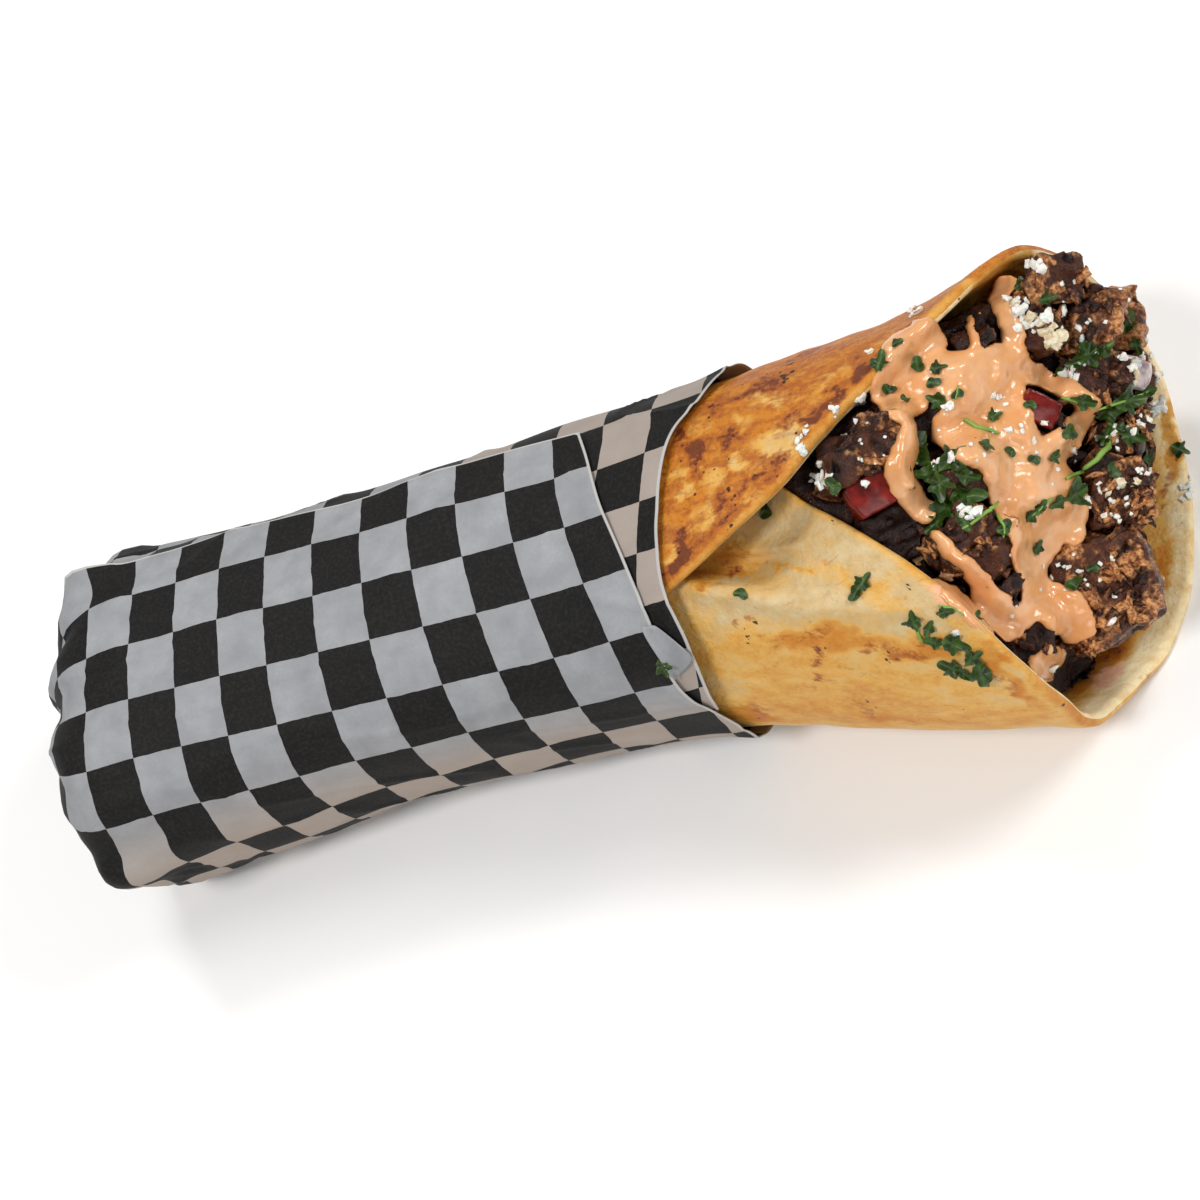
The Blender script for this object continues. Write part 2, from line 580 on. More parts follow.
bread = {  # the flatbread: angles run round the wrap from the lower flap to the upper flap
    "columns": 372, "endRows": 4, "hiddenRows": 5, "mouthRows": 120, "hiddenTo": 122.0, "thick": 2.8,
    "hiddenGap": 8, "crowding": 1.35, "round": 1.3, "leastEdge": 0.03, "shown": (140, 160), "degree": 0.6,
    "lip": 4.0, "lipAngle": 86.0, "lipReach": 24, "lipStations": (204, 230),
    "curl": 1.2, "curlWidth": 3.5, "curlAngle": 95, "curlReach": 22,
    "flare": 1.9, "flareWidth": 6, "flareRise": (-120, -95), "flareFall": (-20, 15),
    "bubble": 0.32, "bubbleSize": 6.0, "sway": 0.6, "swaySize": 22.0, "radius": 35, "upperShift": 60,
    "leastMark": 4.0, "markEdge": 0.9, "markReach": 0.95,
    "tones": ("golden", "brown", "charred", "smear", "floury"), "hiddenTones": (0.3, 0.1, 0.0, 0.0, 0.0),
    "rim": ((-230, 167), (-215, 174.5), (-198, 182), (-185, 190), (-171, 199), (-158, 205.5), (-144, 210.5),
            (-132, 214), (-120, 216.5), (-105, 218.5), (-92, 221.5), (-85, 224), (-75, 229), (-65, 235),
            (-50, 241), (-35, 244), (-15, 246.5), (10, 247.5), (30, 247), (60, 241), (72, 237), (80, 233.5),
            (88, 230), (93, 226.5), (97, 222.8), (101, 219.6), (105, 216.6), (110, 212.5), (115, 208.5),
            (125, 201.5), (135, 194), (145, 187.2), (160, 177), (175, 162),
            (188, 148), (200, 137)),
    # the griddle's marks: middle X and Y in the photograph, half length, half width, slant and strength
    "upperCream": ((782, 438, 30, 17, -35, 1.0), (772, 400, 22, 7, -15, 0.8), (713, 480, 9, 14, 40, 0.8),
                   (738, 463, 9, 7, 0, 0.8), (676, 475, 8, 8, 0, 0.7), (686, 490, 10, 6, 0, 0.7),
                   (668, 552, 6, 14, 20, 0.8), (704, 525, 12, 6, -60, 0.6), (822, 385, 15, 7, -15, 0.6),
                   (747, 500, 12, 5, -45, 0.6), (703, 505, 12, 6, -40, 0.6), (700, 425, 14, 6, -40, 0.4),
                   (845, 372, 12, 6, -20, 0.4), (742, 418, 14, 6, -25, 0.6)),
    "upperBrown": ((757, 388, 26, 9, -25, 0.75), (815, 350, 40, 6, -25, 0.4), (694, 455, 18, 12, -60, 0.8),
                   (680, 437, 12, 9, -60, 0.7), (728, 438, 20, 7, -20, 0.6),
                   (833, 392, 13, 6, -10, 0.8), (800, 418, 34, 6, -15, 0.65), (681, 550, 8, 22, 10, 0.8),
                   (773, 457, 16, 5, -40, 0.5), (864, 368, 10, 9, -30, 0.8), (866, 385, 9, 6, 0, 0.6),
                   (752, 482, 18, 5, -45, 0.7), (730, 400, 30, 6, -25, 0.45), (845, 402, 16, 6, -20, 0.6),
                   (720, 507, 8, 14, 30, 0.55), (700, 470, 7, 12, 30, 0.5), (790, 392, 22, 4, -15, 0.4)),
    "upperChar": ((786, 373, 12, 3.2, -35, 1.0), (754, 479, 4, 3, 0, 0.9), (709, 413, 4, 2.5, 0, 0.9),
                  (831, 376, 4, 2.5, 0, 0.7), (735, 493, 4, 2.5, 0, 0.8), (675, 547, 4, 3, 0, 0.9),
                  (732, 456, 3, 3, 0, 0.8), (747, 417, 3, 2.5, 0, 0.7), (727, 522, 3, 2, 0, 0.7),
                  (800, 430, 2.5, 8, 10, 0.55)),
    "lowerGold": ((725, 562, 34, 16, -20, 0.7), (830, 640, 90, 13, 1, 0.85), (925, 650, 40, 15, 4, 1.0),
                  (745, 645, 30, 22, 0, 0.55), (830, 675, 150, 42, 4, 0.5), (690, 655, 26, 50, 0, 0.42),
                  (940, 690, 90, 34, 6, 0.36),
                  (1000, 668, 62, 8, 45, 0.75), (705, 572, 20, 9, -30, 0.9), (792, 567, 40, 3, 8, 0.7),
                  (738, 570, 22, 8, 10, 0.6), (690, 640, 10, 26, 0, 0.5), (700, 700, 30, 8, 35, 0.6),
                  (760, 717, 40, 8, 14, 0.55), (800, 700, 60, 12, 8, 0.45), (870, 590, 70, 8, 30, 0.35),
                  (880, 712, 60, 10, 3, 0.4), (668, 610, 8, 20, -10, 0.5)),
    "lowerBrown": ((708, 574, 18, 7, -28, 0.3), (735, 548, 8, 22, 40, 0.3), (867, 648, 13, 6, 0, 0.8),
                   (815, 652, 8, 11, 0, 0.95), (818, 675, 5, 9, 10, 0.8),
                   (910, 650, 26, 7, 2, 0.75), (790, 636, 40, 4, -4, 0.45), (860, 706, 16, 3, 30, 0.5),
                   (733, 567, 11, 3, -25, 0.9), (727, 577, 9, 2.5, -30, 0.8), (745, 553, 9, 2.5, 40, 0.5),
                   (1000, 676, 30, 4, 45, 0.5), (760, 712, 20, 4, 15, 0.5), (690, 570, 10, 5, -30, 0.6),
                   (930, 640, 16, 5, 10, 0.5), (740, 622, 14, 4, 0, 0.4)),
    "lowerChar": ((751, 624, 3, 4, 0, 1.0), (750, 636, 3.5, 5, 0, 1.0), (758, 622, 6, 1.5, 0, 0.7),
                  (723, 672, 2.5, 2, 0, 0.9), (837, 520, 3, 2.5, 0, 0.8), (868, 562, 2, 4, 0, 0.8),
                  (907, 583, 3, 3, 0, 0.8), (917, 587, 4, 2.5, 0, 0.7), (893, 657, 2.5, 2, 0, 0.9),
                  (903, 658, 3, 2, 0, 0.8), (877, 549, 3, 2, 0, 0.6), (871, 701, 2.5, 2, 0, 0.8),
                  (960, 709, 2.5, 2, 0, 0.8), (1087, 697, 6, 4, 0, 0.9), (1068, 705, 3, 2.5, 0, 0.9),
                  (816, 648, 4, 5, 0, 0.6)),
    "innerGold": ((1100, 660, 50, 14, -38, 1.0), (1172, 440, 10, 44, 0, 1.0), (1150, 590, 10, 60, 25, 0.8),
                  (1005, 275, 40, 30, -30, 1.0), (965, 330, 16, 30, 30, 0.9)),
    "innerBrown": ((1105, 650, 40, 8, -38, 0.6), (1166, 480, 5, 30, 0, 0.6), (982, 318, 12, 26, 25, 0.9),
                   (1020, 262, 12, 3, -30, 0.5)),
    "pinkSmear": ((1105, 677, 17, 9, -25, 1.0), (945, 600, 26, 9, 40, 0.8)),
}


flapDent = {  # the lower flap beside the upper flap's edge: a hollow, and a valley and a pocket under a ridge
    "hollow": 4.5, "hollowStation": 174, "hollowAngle": 172, "hollowReach": 17,
    "ridge": 1.4, "ridgeAngle": 183, "ridgeFrom": 157, "ridgeBend": 176, "ridgeSlopes": (0.55, 0.17),
    "ridgeMiddle": -2.0, "ridgeReach": 3.6, "ridgeStations": ((150, 160), (186, 205)),
    "pocket": 8.5, "pocketStations": ((144, 156), (164, 196)), "pocketUp": ((0.2, 3.5), (9, 22)),
    "pocketBeyond": (5, 18),
    "valley": 0.75, "valleyUp": (0, 6), "valleyBeyond": (2, 12), "valleyAngles": (95, 120),
}


def breadHollow(station, around):
    dent = flapDent
    along = (station - dent["hollowStation"]) / dent["hollowReach"]
    across = (around - dent["hollowAngle"]) / dent["hollowReach"]
    hollow = dent["hollow"] * math.exp(-(along ** 2) - across ** 2)
    steep, slight = dent["ridgeSlopes"]
    ridgeAngle = dent["ridgeAngle"] + steep * (min(station, dent["ridgeBend"]) - dent["ridgeFrom"])
    ridgeAngle += slight * max(station - dent["ridgeBend"], 0)
    up = ridgeAngle - around
    beyond = (station - through(bread["rim"], around)) * rimLean(around)
    valley = smoothStep(*dent["valleyUp"], up) * (1 - smoothStep(*dent["valleyBeyond"], beyond))
    valley *= smoothStep(*dent["valleyAngles"], around)
    pocket = between(*dent["pocketUp"], up) * (1 - smoothStep(*dent["pocketBeyond"], beyond))
    reach = between(*dent["pocketStations"], station)
    hollow += reach * dent["pocket"] * max(dent["valley"] * valley, pocket)
    ridge = dent["ridge"] * between(*dent["ridgeStations"], station)
    return hollow - ridge * bump(up, dent["ridgeMiddle"], dent["ridgeReach"])


def rimLean(angle):  # how much shorter the way to the rim is across the edge than along the wrap
    step = 2
    rise = through(bread["rim"], angle + step) - through(bread["rim"], angle - step)
    slope = rise / (2 * step * bread["degree"])
    return 1 / math.sqrt(1 + slope * slope)


def breadPoint(run, angle, outer):  # a place on a skin, and how far the rim is from it
    # run is 0 to 1 over the folded end, then 1 to 2 under the paper, then 2 to 3 up to the rim
    rim = through(bread["rim"], angle)
    start = endStart(angle, 1) + wrapForm["endLength"]
    hidden = min(bread["hiddenTo"], rim - bread["hiddenGap"])
    if run <= 1:
        station = start
    elif run <= 2:
        station = start + (hidden - start) * (run - 1)
    else:
        station = rim - (rim - hidden) * (3 - run) ** bread["crowding"]
    lip = bread["lip"] * bump(angle, bread["lipAngle"], bread["lipReach"])
    offset = flapLift(angle) + lip * smoothStep(*bread["lipStations"], station)
    toEdge = (rim - station) * rimLean(angle)
    if angle < -90:
        offset -= breadHollow(station, angle + 360)
    half = bread["thick"] / 2
    edge = min(max(toEdge / bread["round"], 0.0), 1.0)
    profile = math.sqrt(max(1 - (1 - edge) ** 2, 0.0)) * (1 - bread["leastEdge"]) + bread["leastEdge"]
    skin = -half + (half if outer else -half) * profile
    if run > 2:
        turn = math.radians(angle)
        shift = bread["upperShift"] if angle > 90 else 0
        place = Vector((station, bread["radius"] * math.cos(turn), bread["radius"] * math.sin(turn) + shift))
        shown = smoothStep(*bread["shown"], station)
        offset += shown * bread["sway"] * noise.noise(place / bread["swaySize"])
        offset += shown * bread["bubble"] * noise.noise(place / bread["bubbleSize"] + Vector((5, 5, 5)))
        curl = bread["curl"] * bump(toEdge, 0, bread["curlWidth"])
        offset += curl * bump(angle, bread["curlAngle"], bread["curlReach"])
        flare = bread["flare"] * bump(toEdge, 0, bread["flareWidth"]) * smoothStep(*bread["flareRise"], angle)
        offset += flare * (1 - smoothStep(*bread["flareFall"], angle))
    if run <= 1:
        return endPoint(run, angle, offset + skin, skin), toEdge
    return wallPoint(station, angle, offset + skin, under=skin), toEdge


def markShare(px, py, marks, soft=0.35):  # how far a table's marks reach over a place in the photograph
    share = 0.0
    edge = bread["markEdge"]
    for x, y, long, wide, slant, strength in marks:
        long, wide = max(long, bread["leastMark"]), max(wide, bread["leastMark"])
        reach = max(long, wide) * (bread["markReach"] + soft)
        if abs(px - x) > reach or abs(py - y) > reach:
            continue
        turn = math.radians(slant)
        along = (px - x) * math.cos(turn) + (py - y) * math.sin(turn)
        across = (py - y) * math.cos(turn) - (px - x) * math.sin(turn)
        away = math.hypot(along / long, across / wide)
        share = max(share, strength * (1 - smoothStep(edge - soft, edge + soft, away)))
    return share


crustTones = {  # gold and brown beside the marks, and how far from the rim in mm they begin and end
    "facing": (0.02, 0.2),
    "inner": (0.12, 0.05), "deeper": (0.45, 0.14), "deepFrom": (3, 7),
    "innerMarks": 0.6, "innerFlour": (2.5, 6.5),
    "upper": (0.98, 0.48), "upperFrom": (30, 85), "creamGold": 0.72, "creamBrown": 0.3, "creamSoft": 0.6,
    "rimFrom": 100, "rimBrownFrom": (0.5, 1.6), "rimBrown": (0.3, 2.6, 0.9), "rimGoldFrom": (0.4, 1.6),
    "rimGold": 0.72,
    "lower": (0.12, 0.06), "lowerMarks": 0.85, "lowerSoft": 0.7, "lowerRim": (0, 2.5), "lowerRimGold": 0.4,
    "lowerBand": (0.4, -112, 16), "side": (0.16, 0.06), "sideBand": (0.3, -80, 20),
}


def crustTone(place, facing, angle, toEdge, outer):  # golden, brown, charred, smeared and floury shares
    px, py = pixelOf(place)
    px += noise.noise(place / 4.2) * 11 + noise.noise(place / 1.7) * 6  # the marks' edges wander a little
    py += noise.noise(place / 3.7 + Vector((8, 8, 8))) * 11 + noise.noise(place / 1.5 + Vector((3, 8, 1))) * 6
    tone = crustTones
    seen = smoothStep(*tone["facing"], facing)
    smear = seen * markShare(px, py, bread["pinkSmear"])
    if not outer:
        deep = smoothStep(*tone["deepFrom"], toEdge)
        golden, brown = (least + more * deep for least, more in zip(tone["inner"], tone["deeper"]))
        golden += tone["innerMarks"] * seen * markShare(px, py, bread["innerGold"])
        brown += seen * markShare(px, py, bread["innerBrown"])
        return golden, brown, 0.0, smear, 1 - smoothStep(*tone["innerFlour"], toEdge)
    if angle > tone["upperFrom"][0]:
        upper = smoothStep(*tone["upperFrom"], angle)
        golden, brown = (most * upper for most in tone["upper"])
        golden -= tone["creamGold"] * seen * markShare(px, py, bread["upperCream"], tone["creamSoft"])
        paler = tone["creamBrown"] * markShare(px, py, bread["upperCream"])
        brown += seen * (markShare(px, py, bread["upperBrown"]) - paler)
        if angle > tone["rimFrom"]:
            high, middle, reach = tone["rimBrown"]
            brown = brown * smoothStep(*tone["rimBrownFrom"], toEdge) + high * bump(toEdge, middle, reach)
            inside = smoothStep(*tone["rimGoldFrom"], toEdge)
            golden = golden * inside + tone["rimGold"] * (1 - inside)
        return golden, brown, seen * markShare(px, py, bread["upperChar"]), smear, 0.0
    charred = seen * markShare(px, py, bread["lowerChar"])
    nearRim = 1 - smoothStep(*tone["lowerRim"], toEdge)
    if angle < -90:
        golden, brown = tone["lower"]
        golden += tone["lowerMarks"] * seen * markShare(px, py, bread["lowerGold"], tone["lowerSoft"])
        high, middle, reach = tone["lowerBand"]
        golden += tone["lowerRimGold"] * nearRim
        golden += high * bump(angle, middle, reach)
        return golden, brown + seen * markShare(px, py, bread["lowerBrown"]), charred, smear, 0.0
    golden, brown = tone["side"]
    high, middle, reach = tone["sideBand"]
    return golden + high * bump(angle, middle, reach), brown, charred, smear, nearRim


def griddledFlatbread():  # leavened flatbread, griddled: floury cream crust, golden patches, charred specks
    material, tree, shader = newMaterial("griddledFlatbread", {
        "Roughness": 0.5, "Specular IOR Level": 0.3, "Subsurface Weight": 0.1, "Subsurface Scale": 1.0 * mm})
    where = inMillimetres(tree)
    slanted = inMillimetres(tree, stretch=(0.55, 1, 1), turn=(0, 0, 24))
    golden, brown, charred, smear, floury = (painted(tree, name) for name in bread["tones"])
    mottle = noiseOf(tree, where, 3.4, 6, 0.62)
    cream = mixOf(tree, rampOf(tree, mottle, (0.3, 0.0), (0.68, 1.0)), "#C3A26A", "#D2BC90")
    cream = mixOf(tree, mathOf(tree, "MULTIPLY", floury, 0.95), cream, "#F8E4B6")
    patches = noiseOf(tree, slanted, 4.2, 6, 0.6, 0.2)
    goldShare = plusPart(tree, golden, mathOf(tree, "SUBTRACT", patches, 0.5), 1.25)
    crust = mixOf(tree, rampOf(tree, goldShare, (0.05, 0.0), (0.5, 1.0)), cream, "#DCAA54")
    crust = mixOf(tree, rampOf(tree, goldShare, (0.42, 0.0), (0.95, 1.0)), crust, "#C4791C")
    pores = noiseOf(tree, where, 1.0, 4, 0.65)
    poreShare = mathOf(tree, "MULTIPLY", rampOf(tree, pores, (0.5, 0.0), (0.7, 0.5)), goldShare, clamp=True)
    crust = mixOf(tree, poreShare, crust, "#A5661F")
    toast = noiseOf(tree, slanted, 2.6, 7, 0.68, 0.5)
    toastShare = plusPart(tree, toast, brown, 0.42)
    grit = mathOf(tree, "MULTIPLY", mathOf(tree, "SUBTRACT", pores, 0.5), brown)
    toastShare = plusPart(tree, toastShare, grit, 0.9)
    crust = mixOf(tree, rampOf(tree, toastShare, (0.62, 0.0), (0.76, 0.6), (0.98, 0.95)), crust, "#9A4D1A")
    crust = mixOf(tree, rampOf(tree, toastShare, (0.86, 0.0), (1.0, 0.8)), crust, "#5E2B12")
    cells = addNode(tree, "ShaderNodeTexVoronoi", {"Scale": 1 / 2.3, "Randomness": 1.0}, {"Vector": where})
    choice = addNode(tree, "ShaderNodeSeparateColor", {}, {"Color": cells.outputs["Color"]})
    chosen = mathOf(tree, "LESS_THAN", choice.outputs["Red"], mathOf(tree, "MULTIPLY", brown, 0.6))
    size = mathOf(tree, "MULTIPLY_ADD", choice.outputs["Green"], 0.1)
    size.node.inputs[2].default_value = 0.07
    speck = mathOf(tree, "MULTIPLY", mathOf(tree, "LESS_THAN", cells.outputs["Distance"], size), chosen)
    crust = mixOf(tree, mathOf(tree, "MULTIPLY", speck, 0.85), crust, "#3D1B0E")
    pits = addNode(tree, "ShaderNodeTexVoronoi", {"Scale": 1 / 1.0, "Randomness": 1.0}, {"Vector": where})
    burnt = mathOf(tree, "SUBTRACT", charred, mathOf(tree, "MULTIPLY", pits.outputs["Distance"], 1.1))
    crust = mixOf(tree, rampOf(tree, burnt, (0.1, 0.0), (0.22, 0.92)), crust, "#2A120A")
    crust = mixOf(tree, smear, crust, "#EFB391")
    fine = noiseOf(tree, where, 0.9, 5, 0.7)
    broad = noiseOf(tree, where, 3.8, 3)
    dress(tree, shader, crust, bumpOf(tree, plusPart(tree, fine, broad, 2.5), 0.75, 0.4))
    return material


def makeBread():
    columns = bread["columns"]
    runs = [row / bread["endRows"] for row in range(bread["endRows"])]
    runs += [1 + row / bread["hiddenRows"] for row in range(bread["hiddenRows"])]
    runs += [2 + row / bread["mouthRows"] for row in range(bread["mouthRows"] + 1)]
    obj, keys = gridPiece("flatbreadCrust", columns, len(runs) - 1)
    first, last = bread["rim"][0][0], bread["rim"][-1][0]
    count = len(keys)
    rests = {tuple(vert.co): key for vert, key in zip(obj.data.vertices, keys)}
    twoSkins(obj)
    wheres = []
    for k, vert in enumerate(obj.data.vertices):
        column, row = rests[tuple(vert.co)]
        outer = k >= count
        angle = first + (last - first) * column / columns
        place, toEdge = breadPoint(runs[row], angle, outer)
        vert.co = place * mm
        wheres.append((place, angle, toEdge, outer, runs[row]))
    editAll(obj, bpy.ops.mesh.normals_make_consistent, inside=False)
    tones = []
    for vert, (place, angle, toEdge, outer, run) in zip(obj.data.vertices, wheres):
        facing = vert.normal.dot((eye - place).normalized())
        tones.append(crustTone(place, facing, angle, toEdge, outer) if run > 2 else bread["hiddenTones"])
    for name, values in zip(bread["tones"], zip(*tones)):
        paintPoints(obj, name, values)
    finishPiece(obj, griddledFlatbread(), "bread", "flatbread")
    print("bread:", len(obj.data.polygons), "faces")
    return obj


def insideMouth(place):  # whether a place lies among the filling, clear of the bread's own skins
    station = place.x + wrapForm["originStation"]
    wide, high, side = (through(wrapForm["sections"], station, column) for column in (1, 2, 3))
    across = (place.y + wrapForm["originSide"] - side) / (wide - mouthPlace["skins"])
    upward = (place.z - high) / (high - mouthPlace["skins"])
    return math.hypot(across, upward) < mouthPlace["within"]


meat = {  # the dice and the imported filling
    "voxel": 0.42, "lump": 1.9, "lumpSize": 5.5, "strand": 0.6, "strandSize": 2.2, "drawn": 0.84,
    "crumb": 0.17, "crumbSize": 0.8, "pit": 2.4, "pitSize": 3.1, "pitFrom": 0.24, "shrink": 0.25,
    "tornSize": 5.0, "tornFrom": (-0.14, 0.16),
    # how pale and torn each die is
    "pale": {1: 0.45, 2: 1.0, 3: 0.95, 4: 0.35, 5: 0.12, 6: 0.4, 8: 0.3, 9: 0.55, 10: 0.8, 12: 0.42, 15: 0.3,
             16: -0.7, 11: -0.4, 17: -0.2, 18: 0.2},
    # cream and cheese smeared over the fibres: middle, half sizes, slant and strength, as in the bread's marks
    "smears": ((1122, 478, 34, 26, 0, 0.9), (1105, 505, 20, 14, -30, 0.8), (1148, 345, 18, 22, 0, 0.8),
               (862, 490, 16, 12, 0, 0.8), (1095, 334, 14, 10, 0, 0.7), (1046, 335, 24, 20, 0, 0.9),
               (1130, 300, 30, 16, 20, 0.6), (985, 552, 20, 8, 30, 0.6), (1048, 640, 16, 8, 0, 0.7),
               (1085, 590, 26, 20, 20, 0.5), (870, 440, 30, 14, -10, 0.5), (1130, 415, 20, 12, 0, 0.6)),
    "sunk": (1096, 666, 40, 26, -30, 5.0),  # middle, half sizes and slant in the photograph, and depth in mm
    "eases": 6, "packedVoxel": 0.9, "packedPale": -0.4, "tuck": 0.9, "gap": 2.4,
    "overEdge": {"die": 15, "left": (815, 868), "low": (430, 492), "rise": 3.2, "across": -1.4, "up": 1.0},
    "dice": 18, "usualPale": 0.05, "packedSeed": 31, "packedLumps": {"lump": 3.0, "lumpSize": 7.0},
    "packedFrom": (25, 45),
}


def grilledMeat():  # marinated meat, grilled on a spit and diced: charred wet crust over torn tan fibres
    material, tree, shader = newMaterial("grilledMeat", {"Roughness": 0.4, "Specular IOR Level": 0.3})
    where = inMillimetres(tree)
    grain, pale, cavity = painted(tree, "grain"), painted(tree, "pale"), painted(tree, "cavity")
    char = noiseOf(tree, where, 2.6, 6, 0.68)
    charShare = plusPart(tree, char, pale, 0.22)
    dark = mixOf(tree, rampOf(tree, charShare, (0.42, 0.0), (0.74, 1.0)), "#1F0B06", "#5A2C13")
    fibres = noiseOf(tree, where, 0.9, 5, 0.7)
    tan = mixOf(tree, rampOf(tree, fibres, (0.42, 0.0), (0.62, 1.0)), "#86461C", "#DBA066")
    torn = plusPart(tree, mathOf(tree, "MULTIPLY", char, 0.45), grain, 0.25)
    torn = plusPart(tree, torn, fibres, 0.22)
    torn = plusPart(tree, torn, pale, 0.24)
    colour = mixOf(tree, rampOf(tree, torn, (0.6, 0.0), (0.74, 1.0)), dark, tan)
    cream = plusPart(tree, painted(tree, "smeared"), fibres, 0.9)
    cream = plusPart(tree, cream, grain, 0.25)
    colour = mixOf(tree, rampOf(tree, cream, (1.14, 0.0), (1.38, 0.75)), colour, "#CFB093")
    colour = mixOf(tree, cavity, colour, "#0D0705")
    wet = rampOf(tree, noiseOf(tree, where, 1.9, 3), (0.4, 0.12), (0.64, 0.5))
    height = plusPart(tree, fibres, noiseOf(tree, where, 0.4, 3), 0.6)
    dress(tree, shader, colour, bumpOf(tree, height, 0.9, 0.4), wet)
    return material


def roughen(obj, seed, settings, paleShare, keep=None):  # torn fibres, lumps and pits on a remeshed solid
    rng = random.Random(seed)
    along = Vector((rng.uniform(-1, 1), rng.uniform(-1, 1), rng.uniform(-0.6, 0.6))).normalized()
    mesh = obj.data
    shift = Vector((seed * 3.7, seed * 1.3, seed * 7.1))
    moves, grains, cavities = [], [], []
    for vert in mesh.vertices:
        place = vert.co / mm
        drawn = place - along * place.dot(along) * settings["drawn"]  # the grain runs along the fibres
        lump = noise.noise(place / settings["lumpSize"] + shift)
        strand = 1 - 2.6 * abs(noise.noise(drawn / settings["strandSize"] + shift))
        strand += 0.6 * (1 - 2.6 * abs(noise.noise(drawn / settings["strandSize"] * 0.45 - shift)))
        crumb = noise.noise(place / settings["crumbSize"] - shift)
        torn = smoothStep(*settings["tornFrom"], noise.noise(place / settings["tornSize"] - shift * 2))
        pit = max(-noise.noise(place / settings["pitSize"] - shift) - settings["pitFrom"], 0)
        share = 1.0 if keep is None else keep(place)
        move = settings["lump"] * lump + settings["strand"] * (0.3 + 0.7 * torn) * (strand - 0.5)
        move += settings["crumb"] * (0.5 + 0.5 * torn) * crumb
        moves.append(vert.normal * (move - settings["pit"] * pit - settings["shrink"]) * mm * share)
        grains.append(min(max((0.4 + 0.42 * strand + 0.5 * crumb) * (0.35 + 0.8 * torn), 0), 1))
        cavities.append(min(max(3.5 * pit - 0.5 * min(strand, 0) - 0.8 * min(crumb + 0.1, 0), 0), 0.92))
    for vert, move in zip(mesh.vertices, moves):
        vert.co += move
    paintPoints(obj, "grain", grains)
    paintPoints(obj, "cavity", cavities)
    paintPoints(obj, "pale", [paleShare] * len(grains))


def liftOverEdge(obj):  # the chunk at the flap's edge lies over that edge
    over = meat["overEdge"]
    lift = viewBack * over["rise"] + viewRight * over["across"] + viewUp * over["up"]
    for vert in obj.data.vertices:
        px, py = pixelOf(vert.co / mm)
        vert.co += lift * mm * (1 - smoothStep(*over["left"], px)) * (1 - smoothStep(*over["low"], py))


def darkenGaps(objects):  # dark juices gather where the pieces lie close together
    tree = treeOf(objects)
    for obj in objects:
        layer = obj.data.attributes["cavity"]
        for vert, item in zip(obj.data.vertices, layer.data):
            reach = tree.ray_cast(vert.co / mm + vert.normal * 0.2, vert.normal, meat["gap"])[3]
            if reach is not None:
                item.value = max(item.value, 0.9 * (1 - reach / meat["gap"]))


def makeDice(material):
    dice = []
    for k in range(1, meat["dice"] + 1):
        node = f"meat_{k:02d}"
        obj = cadCopy(node, f"meatChunk_{k:02d}")
        remeshed(obj, meat["voxel"], meat["eases"])
        roughen(obj, k, meat, meat["pale"].get(k, meat["usualPale"]))
        if k == meat["overEdge"]["die"]:
            liftOverEdge(obj)
        dice.append(finishPiece(obj, material, "meat", node))
    darkenGaps(dice)
    for obj in dice:
        smeared = []
        for vert in obj.data.vertices:
            px, py = pixelOf(vert.co / mm)
            seen = smoothStep(-0.1, 0.3, vert.normal.dot((eye - vert.co / mm).normalized()))
            smeared.append(seen * markShare(px, py, meat["smears"]))
        paintPoints(obj, "smeared", smeared)
    print("meat:", sum(len(obj.data.polygons) for obj in dice), "faces")
    return dice


def makePacked(material, breadPiece):
    obj = cadCopy("packed_filling", "packedFilling")
    remeshed(obj, meat["packedVoxel"])
    roughen(obj, meat["packedSeed"], meat | meat["packedLumps"], meat["packedPale"],
            lambda place: smoothStep(*meat["packedFrom"], place.x))
    walls = treeOf([breadPiece])
    *sunkPlace, sunkDepth = meat["sunk"]
    sunkMark = ((*sunkPlace, 1.0),)
    sinks = []
    for vert in obj.data.vertices:  # it has settled where the mouth's low side is open
        shows = vert.normal.dot(viewBack) > -0.2
        share = markShare(*pixelOf(vert.co / mm), sunkMark, 0.5) if shows else 0
        sinks.append(viewBack * mm * sunkDepth * share)
    for vert, sink in zip(obj.data.vertices, sinks):
        vert.co -= sink
    for vert in obj.data.vertices:  # tucked in under the bread wherever it would reach it
        place = vert.co / mm
        station = place.x + wrapForm["originStation"]
        high = through(wrapForm["sections"], max(station, 0), 2)
        side = through(wrapForm["sections"], max(station, 0), 3)
        middle = Vector((place.x, side - wrapForm["originSide"], high))
        reach = (place - middle).length
        if reach < 1:
            continue
        hit = walls.ray_cast(middle, (place - middle) / reach, reach + meat["tuck"])
        if hit[0] is not None:
            vert.co = (middle + (place - middle) * (max(hit[3] - meat["tuck"], 1) / reach)) * mm
    finishPiece(obj, material, "filling", "packed_filling")
    print("packed filling:", len(obj.data.polygons), "faces")
    return obj


shreds = {  # torn scraps of meat that lie between the dice: middle, reach in the photograph and how many
    "seed": 5, "long": (1.6, 4.6), "thick": (0.45, 1.0), "pales": (0.1, 0.3, 0.9),
    "rough": 0.9, "roughScale": 1.4, "bow": 0.35, "flat": 0.8, "lift": 0.35,
    "spread": ((1075, 310, 60, 45, 34), (1110, 400, 40, 60, 26), (1110, 500, 40, 60, 22),
               (1080, 600, 60, 40, 22), (950, 540, 60, 60, 22), (860, 460, 40, 40, 12),
               (1010, 480, 60, 80, 12), (1010, 640, 30, 20, 8), (960, 420, 60, 60, 10),
               (1142, 420, 12, 40, 26), (1146, 500, 12, 40, 26), (1130, 590, 24, 36, 22),
               (1085, 648, 34, 14, 14)),
}


